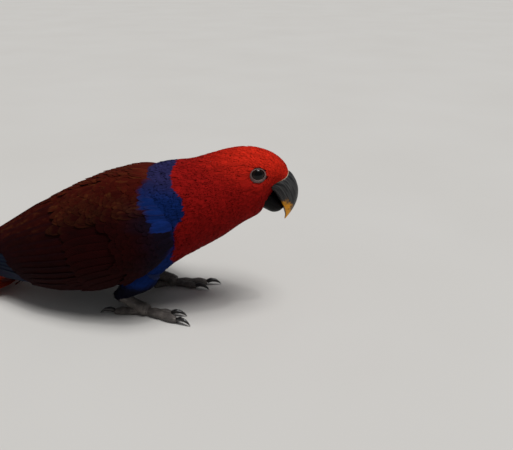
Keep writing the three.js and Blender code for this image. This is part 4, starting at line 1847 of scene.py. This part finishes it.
@dataclass
class BodyCoat:
    """The small feathers of head, neck, back, breast, belly and thighs."""

    body: BodySurface
    seed: int = 5
    growth: Growth = Growth(
        at=(0.02, 0.2, 0.45, 0.6, 0.72, 0.85, 0.96),
        length=(20.0, 20.0, 17.0, 13.0, 9.0, 6.6, 4.0),
        half=(4.8, 4.8, 3.6, 2.1, 1.4, 1.0, 0.7),
        spacing=(3.8, 3.8, 2.8, 1.65, 1.15, 0.85, 0.7),
        depth=(2.6, 2.6, 2.3, 1.6, 1.2, 0.95, 0.7),
        shift=(0.1, 0.1, 0.1, 0.1, 0.1, 0.0, 0.0),
    )
    rows: tuple[float, float] = (0.06, 0.99)
    split_at: tuple[float, ...] = (0.5, 0.59, 0.68, 0.76, 0.86)
    names: tuple[str, ...] = ("torso", "breast", "neck", "nape", "crown", "face")
    fine_from: float = 0.68  # smaller feathers need fewer points across
    eye_clearances: tuple[float, float, float] = (5.2, 5.6, 5.8)  # of roots, middles and tips
    bill_from: float = 0.8
    bill_clearance: float = 0.25
    covered_to: float = 0.62
    cover_reach: float = 0.03  # how far out a wing still hides a feather, in metres
    droop_turn: float = 0.16
    droop_from: float = 0.3
    droop_to: float = 0.8

    def build(self, bill_trees: Sequence[BVHTree], wing_tree: BVHTree, eyes: Sequence[Eye]) -> list[Piece]:
        """Grows the feathers and parts them into pieces along the body.

        Args:
            bill_trees: the search trees of the bill's halves, which stay clear.
            wing_tree: the search tree of the wings, under which nothing grows.
            eyes: the eyes, which stay clear.

        Returns:
            The pieces of the coat.
        """
        rng = np.random.default_rng(self.seed)
        feathers = grown(self.body, self.growth, rng, self.rows, FULL_TURN, -1.0, self.droop)
        roots, normals = self.body.frame(feathers.root[:, 0], feathers.root[:, 1])
        kept = feathers.tip[:, 0] > 0.0
        middle = self.body.point(*((feathers.root + feathers.tip) / 2).T)
        tips = self.body.point(*feathers.tip.T)
        for eye in eyes:
            for places, radius in zip((roots, middle, tips), self.eye_clearances):
                kept &= eye.clear_of(places, radius)
        for tree in bill_trees:
            near = np.flatnonzero(kept & (feathers.root[:, 0] > self.bill_from))
            kept[near] &= distances_outside(tree, roots[near]) > self.bill_clearance
        kept &= ~self.covered(wing_tree, feathers, roots, normals)
        feathers = feathers.only(kept)
        broad = VaneShape(outline=CONTOUR_OUTLINE, columns=5, camber=0.04, thickness=0.16, fringe=0.06)
        fine = VaneShape(outline=CONTOUR_OUTLINE, columns=3, camber=0.03, thickness=0.14, fringe=0.07)
        edges = (0.0, *self.split_at, 1.0)
        pieces = []
        for name, low, high in zip(self.names, edges, edges[1:]):
            share = feathers.root[:, 0]
            part = feathers.only((share >= low) & (share < high))
            shape = fine if low >= self.fine_from else broad
            piece = shape.build(f"coat_{name}", self.body, part, rng)
            points = points_of(piece)
            for eye in eyes:
                points = eye.pressed(points)
            move_points(piece, points)
            pieces.append(piece)
        return pieces

    def droop(self, share: Array, angle: Array) -> Array:
        """Turns the lie down a little on the sides of neck and breast."""
        fade = 1 - smooth((share - self.droop_to) * 6)
        return self.droop_turn * np.sin(angle) * smooth((share - self.droop_from) * 4) * fade

    def covered(self, tree: BVHTree, feathers: Feathers, roots: Array, normals: Array) -> Array:
        """Tells which feathers the wing hides all over.

        Args:
            tree: the wings' search tree.
            feathers: the feathers.
            roots: the points of their roots.
            normals: the ways out there.

        Returns:
            One answer for each feather.
        """
        tips, tip_normals = self.body.frame(feathers.tip[:, 0], feathers.tip[:, 1])
        hidden = np.zeros(len(roots), bool)
        for i in np.flatnonzero(feathers.root[:, 0] < self.covered_to):
            rays = ((roots[i], normals[i]), (tips[i], tip_normals[i]))
            hits = (tree.ray_cast(Vector(p * MM), Vector(n), self.cover_reach)[0] for p, n in rays)
            hidden[i] = all(hit is not None for hit in hits)
        return hidden


@dataclass
class ThighCoat:
    """The small feathers of one thigh."""

    seed: int
    growth: Growth = Growth(
        at=(0.0, 0.5, 0.8, 1.0),
        length=(12.0, 11.0, 8.0, 5.0),
        half=(3.0, 2.2, 1.4, 1.0),
        spacing=(2.8, 2.1, 1.5, 1.2),
        depth=(1.6, 1.4, 1.0, 0.8),
        shift=(0.0, 0.0, -0.4, -1.8),
    )
    rows: tuple[float, float] = (0.02, 0.9)

    def build(self, name: str, thigh: ThighSurface) -> Piece:
        """Grows the feathers down to the heel.

        Args:
            name: the piece's name.
            thigh: the thigh's outside.

        Returns:
            The new object.
        """
        rng = np.random.default_rng(self.seed)
        feathers = grown(thigh, self.growth, rng, self.rows, FULL_TURN, 1.0)
        shape = VaneShape(outline=CONTOUR_OUTLINE, columns=5, camber=0.08, thickness=0.18, fringe=0.04)
        return shape.build(name, thigh, feathers, rng)


@dataclass(frozen=True)
class FeatherRow:
    """A row of large feathers, from its first feather to its last.

    Roots and tips are shares of the surface's length and cross numbers.
    """

    name: str
    count: int
    root: tuple[tuple[float, float], tuple[float, float]]
    tip: tuple[tuple[float, float], tuple[float, float]]
    half: float
    lift: float
    root_depth: float = 3.0
    fan: float = 0.0
    roll: float = -0.6
    variety: float = 0.05  # how much like feathers differ

    def feathers(self, rng: np.random.Generator) -> Feathers:
        """Spaces the row's feathers between its ends.

        Args:
            rng: the draw for the feathers' small differences.

        Returns:
            The feathers.
        """
        share = np.linspace(0, 1, self.count)[:, None]
        first_root, last_root, first_tip, last_tip = (np.array(end) for end in (*self.root, *self.tip))
        root = first_root + (last_root - first_root) * share
        tip = first_tip + (last_tip - first_tip) * share
        tip[:, 0] += (tip - root)[:, 0] * self.variety * (rng.random(self.count) - 0.5)
        tip[:, 1] += 0.3 * self.variety * (rng.random(self.count) - 0.5)
        half = self.half * (1 + self.variety * (rng.random(self.count) - 0.5))
        rise = np.full(self.count, self.lift) + self.fan * share[:, 0]
        return Feathers(root, tip, half, rise - self.root_depth, rise, self.roll)


@dataclass
class Wing:
    """One folded wing: its flight feathers and the tiers that cover their roots."""

    side_name: str
    side: float
    seed: int
    flight_rows: tuple[FeatherRow, ...] = (
        FeatherRow("primaries", 9, ((0.42, 0.06), (0.5, 0.6)), ((1.0, 0.16), (0.84, 0.74)), 6.2, -1.2),
        FeatherRow(
            "secondaries", 13, ((0.28, 0.1), (0.4, 0.97)), ((0.67, 0.04), (0.89, 0.95)), 7.2, -0.2, fan=0.5
        ),
    )
    covert_rows: tuple[FeatherRow, ...] = (
        FeatherRow("primary_coverts", 6, ((0.2, 0.02), (0.26, 0.22)), ((0.44, 0.02), (0.5, 0.2)), 4.6, -0.3),
        FeatherRow("greater_coverts", 13, ((0.18, 0.08), (0.3, 0.95)), ((0.4, 0.08), (0.55, 0.94)), 6.2, 0.1),
    )
    covert_growth: Growth = Growth(
        at=(0.0, 0.06, 0.16, 0.26),
        length=(9.0, 12.0, 18.0, 24.0),
        half=(2.4, 3.0, 4.6, 6.0),
        spacing=(2.2, 2.8, 4.2, 5.4),
        depth=(1.6, 1.8, 2.2, 2.4),
        shift=(0.2, 0.55),
    )
    covert_area: tuple = ((0.005, 0.27), (-0.02, 0.96))
    covert_edge: tuple[float, float, float] = (0.15, 0.13, 0.02)  # its end, slant and raggedness
    back_sink: float = 2.4
    middle_gap: float = 0.15  # how far the feathers stay from the bird's middle plane
    scapular_turn: float = -0.22
    turn_from: float = 0.72
    turn_over: float = 0.3
    scapular_area: tuple = ((0.0, 0.44), (0.75, 0.985))
    scapular_growth: Growth = Growth(
        at=(0.0, 0.12, 0.3, 0.5),
        length=(11.0, 17.0, 28.0, 34.0),
        half=(2.0, 2.8, 4.2, 4.6),
        spacing=(2.1, 2.8, 4.0, 4.4),
        depth=(2.0, 2.4, 3.0, 3.2),
        shift=(1.0, 0.7),
    )

    def build(self, surface: WingSurface) -> dict[str, Piece]:
        """Builds the wing's feathers, tier by tier.

        Args:
            surface: the wing's outside.

        Returns:
            The pieces by the name of their tier.
        """
        rng = np.random.default_rng(self.seed)
        flight = VaneShape(
            FLIGHT_OUTLINE, 9, camber=0.08, thickness=0.34, fringe=0.006, ripple=0.012, levels_out=True
        )
        covert = VaneShape(COVERT_OUTLINE, columns=7, camber=0.12, thickness=0.3, fringe=0.012, ripple=0.02)
        pieces = {}
        for row in self.flight_rows:
            pieces[row.name] = self.part(flight, row.name, surface, row.feathers(rng), rng)
        parts = [row.feathers(rng) for row in self.covert_rows]
        coverts = [self.part(covert, "coverts", surface, part, rng) for part in parts]
        small = grown(surface, self.covert_growth, rng, *self.covert_area, 1.0)
        along, up = small.root.T
        end, slant, raggedness = self.covert_edge
        small = small.only(along < end + slant * up + raggedness * rng.normal(size=len(small)))
        coverts.append(self.part(covert, "coverts", surface, small, rng))
        pieces["coverts"] = joined(f"{self.side_name}_coverts", coverts)
        scapulars = grown(surface, self.scapular_growth, rng, *self.scapular_area, 1.0, self.scapular_lie)
        along, up = scapulars.root.T
        sunk = self.back_sink * smooth((up - 0.8) / 0.18) * (1 - smooth(along / 0.4))
        scapulars.root_lift -= sunk
        scapulars.tip_lift -= sunk
        pieces["scapulars"] = self.part(covert, "scapulars", surface, scapulars, rng)
        return pieces

    def part(
        self, shape: VaneShape, tier: str, surface: WingSurface, feathers: Feathers,
        rng: np.random.Generator
    ) -> Piece:
        """Builds one tier and keeps it on its own side of the back.

        Args:
            shape: the mesh of its feathers.
            tier: its name.
            surface: the wing's outside.
            feathers: the feathers.
            rng: the draw for their small differences.

        Returns:
            The new object.
        """
        piece = shape.build(f"{self.side_name}_{tier}", surface, feathers, rng)
        points = points_of(piece)
        points[:, 1] = self.side * np.maximum(points[:, 1] * self.side, self.middle_gap)
        move_points(piece, points)
        return piece

    def scapular_lie(self, share: Array, height: Array) -> Array:
        """Turns the scapulars down off the back."""
        return self.scapular_turn * smooth((height - self.turn_from) / self.turn_over)


@dataclass
class Mantle:
    """The feathers of the back, which cover the wings' upper edges."""

    seed: int = 83
    growth: Growth = Growth(
        at=(0.0, 0.15, 0.35, 0.6),
        length=(14.0, 18.0, 24.0, 28.0),
        half=(2.6, 3.2, 3.6, 2.6),
        spacing=(2.3, 3.0, 3.3, 2.8),
        depth=(2.4, 2.8, 3.2, 3.2),
        shift=(0.9, 0.4),
    )
    area: tuple = ((0.1, 0.52), (-1.0, 1.0))
    edge_sink: float = 1.8
    edge_narrowing: float = 0.3
    fan: float = 0.1

    def build(self, surface: BackSurface) -> Piece:
        """Grows the feathers from the shoulders back.

        Args:
            surface: the back's outside.

        Returns:
            The new object.
        """
        rng = np.random.default_rng(self.seed)
        feathers = grown(surface, self.growth, rng, *self.area, 1.0, self.lie)
        sunk = self.edge_sink * feathers.root[:, 1] ** 2
        feathers.root_lift -= sunk
        feathers.tip_lift -= sunk
        feathers.half *= 1 - self.edge_narrowing * feathers.root[:, 1] ** 2
        shape = VaneShape(COVERT_OUTLINE, columns=7, camber=0.14, thickness=0.24, fringe=0.03, ripple=0.02)
        return shape.build("mantle", surface, feathers, rng)

    def lie(self, share: Array, place: Array) -> Array:
        """Turns the lie outwards on either side."""
        return self.fan * place


@dataclass
class Tail:
    """The tail feathers and the coverts over and under their roots."""

    pairs: int = 6
    half: float = 6.4
    layer: float = 0.62
    clearance: float = 0.75
    longest: float = 0.993
    shorter: float = 0.012
    variety: float = 0.05
    root_share: float = 0.05
    root_width: float = 0.8
    floor_gap: float = 0.05
    over_area: tuple = ((0.0, 0.22), (-0.85, 0.85))
    under_area: tuple = ((0.0, 0.2), (-0.8, 0.8))
    seed: int = 47
    over_growth: Growth = Growth(
        at=(0.0, 0.12, 0.24),
        length=(16.0, 20.0, 24.0),
        half=(4.4, 5.0, 5.2),
        spacing=(4.0, 4.6, 5.2),
        depth=(2.0, 2.0, 1.6),
        shift=(6.2, 5.0, 3.6),
    )
    under_growth: Growth = Growth(
        at=(0.0, 0.12, 0.24),
        length=(14.0, 18.0, 20.0),
        half=(4.4, 4.8, 5.0),
        spacing=(4.2, 4.8, 5.2),
        depth=(1.6, 1.6, 1.4),
        shift=(3.6, 3.0, 2.0),
    )

    def build(self, surface: TailSurface) -> dict[str, Piece]:
        """Builds the tail's feathers.

        Args:
            surface: the tail's middle sheet.

        Returns:
            The pieces by name.
        """
        rng = np.random.default_rng(self.seed)
        place = np.arange(2 * self.pairs) - self.pairs + 0.5
        rank = np.abs(place) - 0.5
        across = place / (self.pairs - 0.5)
        lift = (self.pairs - 1 - rank) * self.layer + np.where(place > 0, self.layer / 3, 0) + self.clearance
        length = self.longest - self.shorter * rank * (1 + self.variety * (rng.random(len(place)) - 0.5))
        root = np.stack([np.full(len(place), self.root_share), across * self.root_width], -1)
        tip = np.stack([length, across], -1)
        half = self.half * (1 + self.variety * (rng.random(len(place)) - 0.5))
        feathers = Feathers(root, tip, half, lift, lift)
        rectrix = VaneShape(
            TAIL_OUTLINE, 9, camber=0.05, thickness=0.34, fringe=0.004, ripple=0.01, levels_out=True
        )
        covert = VaneShape(COVERT_OUTLINE, columns=7, camber=0.14, thickness=0.28, fringe=0.012, ripple=0.02)
        pieces = {"rectrices": rectrix.build("tail_rectrices", surface, feathers, rng)}
        over = grown(surface, self.over_growth, rng, *self.over_area, 1.0)
        pieces["over"] = covert.build("tail_coverts_over", surface, over, rng)
        under = grown(surface, self.under_growth, rng, *self.under_area, 1.0)
        under = Feathers(under.root, under.tip, under.half, -under.root_lift, -under.tip_lift)
        pieces["under"] = covert.build("tail_coverts_under", surface, under, rng)
        for piece in pieces.values():
            points = points_of(piece)
            points[:, 2] = np.maximum(points[:, 2], self.floor_gap)
            move_points(piece, points)
        return pieces


def finish_piece(piece: Piece, material: bpy.types.Material, slot: str, *replaced: str) -> Piece:
    """Dresses a piece, sets it on the body, and hides the CAD nodes that it stands for.

    Args:
        piece: the piece.
        material: its material.
        slot: not used.
        replaced: the CAD nodes that it stands for.

    Returns:
        The piece.
    """
    piece.data.materials.clear()
    piece.data.materials.append(material)
    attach(piece, BODY_NAME)
    if replaced:
        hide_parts(*replaced)
    triangles = sum(len(p.vertices) - 2 for p in piece.data.polygons)
    log.info("%s: %d triangles", piece.name, triangles)
    return piece


@dataclass
class Parrot:
    """The whole bird."""

    legs: dict[str, Leg] = field(
        default_factory=lambda: {
            "right": Leg(SIDES["right"], (-3, -25), -7),
            "left": Leg(SIDES["left"], (7, 24), -2, knee_ahead=-1.0),
        }
    )
    wing_seeds: dict[str, int] = field(default_factory=lambda: {"left": 11, "right": 29})
    thigh_seed: int = 61
    skin_darkness: float = 0.12
    line_rings: int = 120
    line_sides: int = 72
    shield_rows: int = 40
    shield_columns: int = 20
    markings: bpy.types.NodeTree = field(init=False)
    materials: dict[str, bpy.types.Material] = field(init=False)

    def build(self) -> None:
        """Builds all the pieces, from the bill to the tail."""
        self.make_finishes()
        body = BodySurface()
        wings = {name: WingSurface(side) for name, side in SIDES.items()}
        bills = self.build_bill(body)
        eyes = self.build_eyes()
        self.build_skin(body, wings, eyes)
        wing_tree = self.build_wings(wings)
        coat = BodyCoat(body)
        for piece in coat.build([tree_of(bill) for bill in bills], wing_tree, eyes):
            slot = "maroon_feathers" if piece.name == "coat_torso" else "red_feathers"
            finish_piece(piece, self.materials["body"], slot)
        finish_piece(Mantle().build(BackSurface()), self.materials["scapulars"], "maroon_feathers")
        self.build_tail()
        self.build_legs()

    def make_finishes(self) -> None:
        """Builds the materials of the feathers, the feet and the claws."""
        self.markings = Markings().group()
        vane = vane_group()
        finishes = {
            "body": FeatherFinish("Body feathers"),
            "coverts": FeatherFinish("Wing coverts", Colouring.WING, edge=linear(60, 14, 6), edge_share=0.08),
            "scapulars": FeatherFinish("Scapulars", Colouring.WING, edge=linear(88, 56, 28), edge_share=0.1),
            "secondaries": FeatherFinish(
                "Secondaries", Colouring.WING, edge=linear(20, 6, 16), edge_share=0.3, barb_count=70.0
            ),
            "primaries": FeatherFinish(
                "Primaries",
                Colouring.OWN,
                own=linear(15, 19, 42),
                edge=linear(20, 46, 52),
                edge_share=0.35,
                barb_count=80.0,
                roughness=0.5,
            ),
            "tail": FeatherFinish(
                "Tail feathers",
                Colouring.OWN,
                own=linear(128, 30, 14),
                edge=linear(164, 66, 26),
                edge_share=0.3,
                tip=linear(190, 106, 36),
                barb_count=70.0,
            ),
            "tail_coverts": FeatherFinish("Tail coverts", Colouring.OWN, own=linear(84, 18, 14)),
        }
        self.materials = {name: finish.build(self.markings, vane) for name, finish in finishes.items()}
        self.materials["claw"] = ClawFinish().build()
        foot = SkinFinish("Foot skin", linear(122, 114, 108), linear(66, 60, 57))
        lids = SkinFinish(
            "Lid skin", linear(136, 110, 104), linear(92, 68, 66), cell_scale=1800.0, depth=0.00006
        )
        self.materials["foot"], self.materials["lids"] = foot.build(), lids.build()

    def build_skin(self, body: BodySurface, wings: dict[str, WingSurface], eyes: list[Eye]) -> None:
        """Builds the skin with the markings of the feathers over it.

        Args:
            body: the body's outside.
            wings: the wings' outsides by side.
            eyes: the eyes.
        """
        thighs = [leg.thigh() for leg in self.legs.values()]
        skin = Skin().build(body, list(wings.values()), thighs, eyes)
        nodes, shader = new_material("Down and skin")
        place = nodes.add("ShaderNodeTexCoord").outputs["Object"]
        colour = nodes.group(self.markings, place=place).outputs["Body"]
        nodes.feed(shader.inputs["Base Color"], nodes.mix(self.skin_darkness, colour, BLACK))
        shader.inputs["Roughness"].default_value = 0.9
        nodes.feed(shader.inputs["Normal"], nodes.bump(nodes.noise(place, 900.0), 0.5, 0.0005))
        replaced = ("torso", "neck", "head", "thigh_left", "thigh_right")
        finish_piece(skin, material_of(nodes), "maroon_feathers", *replaced)

    def build_bill(self, body: BodySurface) -> list[Piece]:
        """Builds both halves of the bill.

        Args:
            body: the body's outside, where the feathers end.

        Returns:
            The upper and the lower half.
        """
        bill = Bill()
        shares = np.linspace(0, 1, self.line_rings)
        angles = np.linspace(*FULL_TURN, self.line_sides, endpoint=False)
        a, b = np.meshgrid(shares, angles, indexing="ij")
        outside = tube_mesh("feather_line", body.point(a, b))
        tree = tree_of(outside)
        pieces = []
        for name, rows, ridge_up, finish in (
            ("bill_upper_horn", UPPER_BILL_ROWS, 1.0, BillFinish()),
            ("bill_lower_horn", LOWER_BILL_ROWS, -1.0, LOWER_BILL_FINISH),
        ):
            half = bill.half_mesh(name, rows, ridge_up)
            set_attribute(half, PAST_FEATHERS, distances_outside(tree, points_of(half)))
            material = finish.build(name.replace("_", " ").capitalize())
            node = name.removesuffix("_horn")
            pieces.append(finish_piece(half, material, "bill_horn", node))
        bpy.data.objects.remove(outside)
        return pieces

    def build_eyes(self) -> list[Eye]:
        """Builds the eyes and their lids.

        Returns:
            The eyes.
        """
        eyes = []
        for side_name, side in SIDES.items():
            eye = Eye(side)
            material = EyeFinish().build(f"Eye {side_name}", eye.centre, eye.look)
            finish_piece(eye.build_ball(f"eyeball_{side_name}"), material, "eye", f"eye_{side_name}")
            finish_piece(eye.build_lids(f"lids_{side_name}"), self.materials["lids"], "foot_skin")
            eyes.append(eye)
        return eyes

    def build_wings(self, wings: dict[str, WingSurface]) -> BVHTree:
        """Builds both wings.

        Args:
            wings: the wings' outsides by side.

        Returns:
            The search tree of the wings' covered parts.
        """
        shields = []
        for side_name, surface in wings.items():
            wing = Wing(f"wing_{side_name}", surface.side, self.wing_seeds[side_name])
            pieces = wing.build(surface)
            for tier, piece in pieces.items():
                slot = "blue_feathers" if tier == "primaries" else "maroon_feathers"
                replaced = (f"wing_{side_name}",) if tier == "coverts" else ()
                finish_piece(piece, self.materials[tier], slot, *replaced)
            shares = np.linspace(0.05, 1, self.shield_rows)
            heights = np.linspace(0.08, 1, self.shield_columns)
            a, b = np.meshgrid(shares, heights, indexing="ij")
            faces = grid_faces(self.shield_rows, self.shield_columns, around=False)
            shields.append(mesh_object("shield", surface.point(a, b), faces))
        shield = joined("shield", shields)
        tree = tree_of(shield)
        bpy.data.objects.remove(shield)
        return tree

    def build_tail(self) -> None:
        """Builds the tail."""
        pieces = Tail().build(TailSurface())
        finish_piece(pieces["rectrices"], self.materials["tail"], "tail_feathers", "tail")
        finish_piece(pieces["over"], self.materials["tail_coverts"], "tail_feathers")
        finish_piece(pieces["under"], self.materials["tail_coverts"], "tail_feathers")

    def build_legs(self) -> None:
        """Builds the thighs' feathers, the lower legs, the toes and the claws."""
        for number, (side_name, leg) in enumerate(self.legs.items()):
            coat = ThighCoat(seed=self.thigh_seed + number).build(f"coat_thigh_{side_name}", leg.thigh())
            finish_piece(coat, self.materials["body"], "blue_feathers")
            tarsus = leg.build_tarsus(f"shank_{side_name}")
            finish_piece(tarsus, self.materials["foot"], "foot_skin", f"tarsus_{side_name}")
            for toe in TOES:
                place = f"{side_name}_{toe.name}"
                scaly_toe = leg.build_toe(f"scaly_toe_{place}", toe)
                finish_piece(scaly_toe, self.materials["foot"], "foot_skin", f"toe_{place}")
                claw = leg.build_claw(f"horn_claw_{place}", toe)
                finish_piece(claw, self.materials["claw"], "claw_horn", f"claw_{place}")


def main() -> None:
    """Builds the studio and the parrot."""
    logging.basicConfig(level=logging.INFO, format="%(message)s")
    Studio().build()
    Parrot().build()


if __name__ == "__main__":
    main()
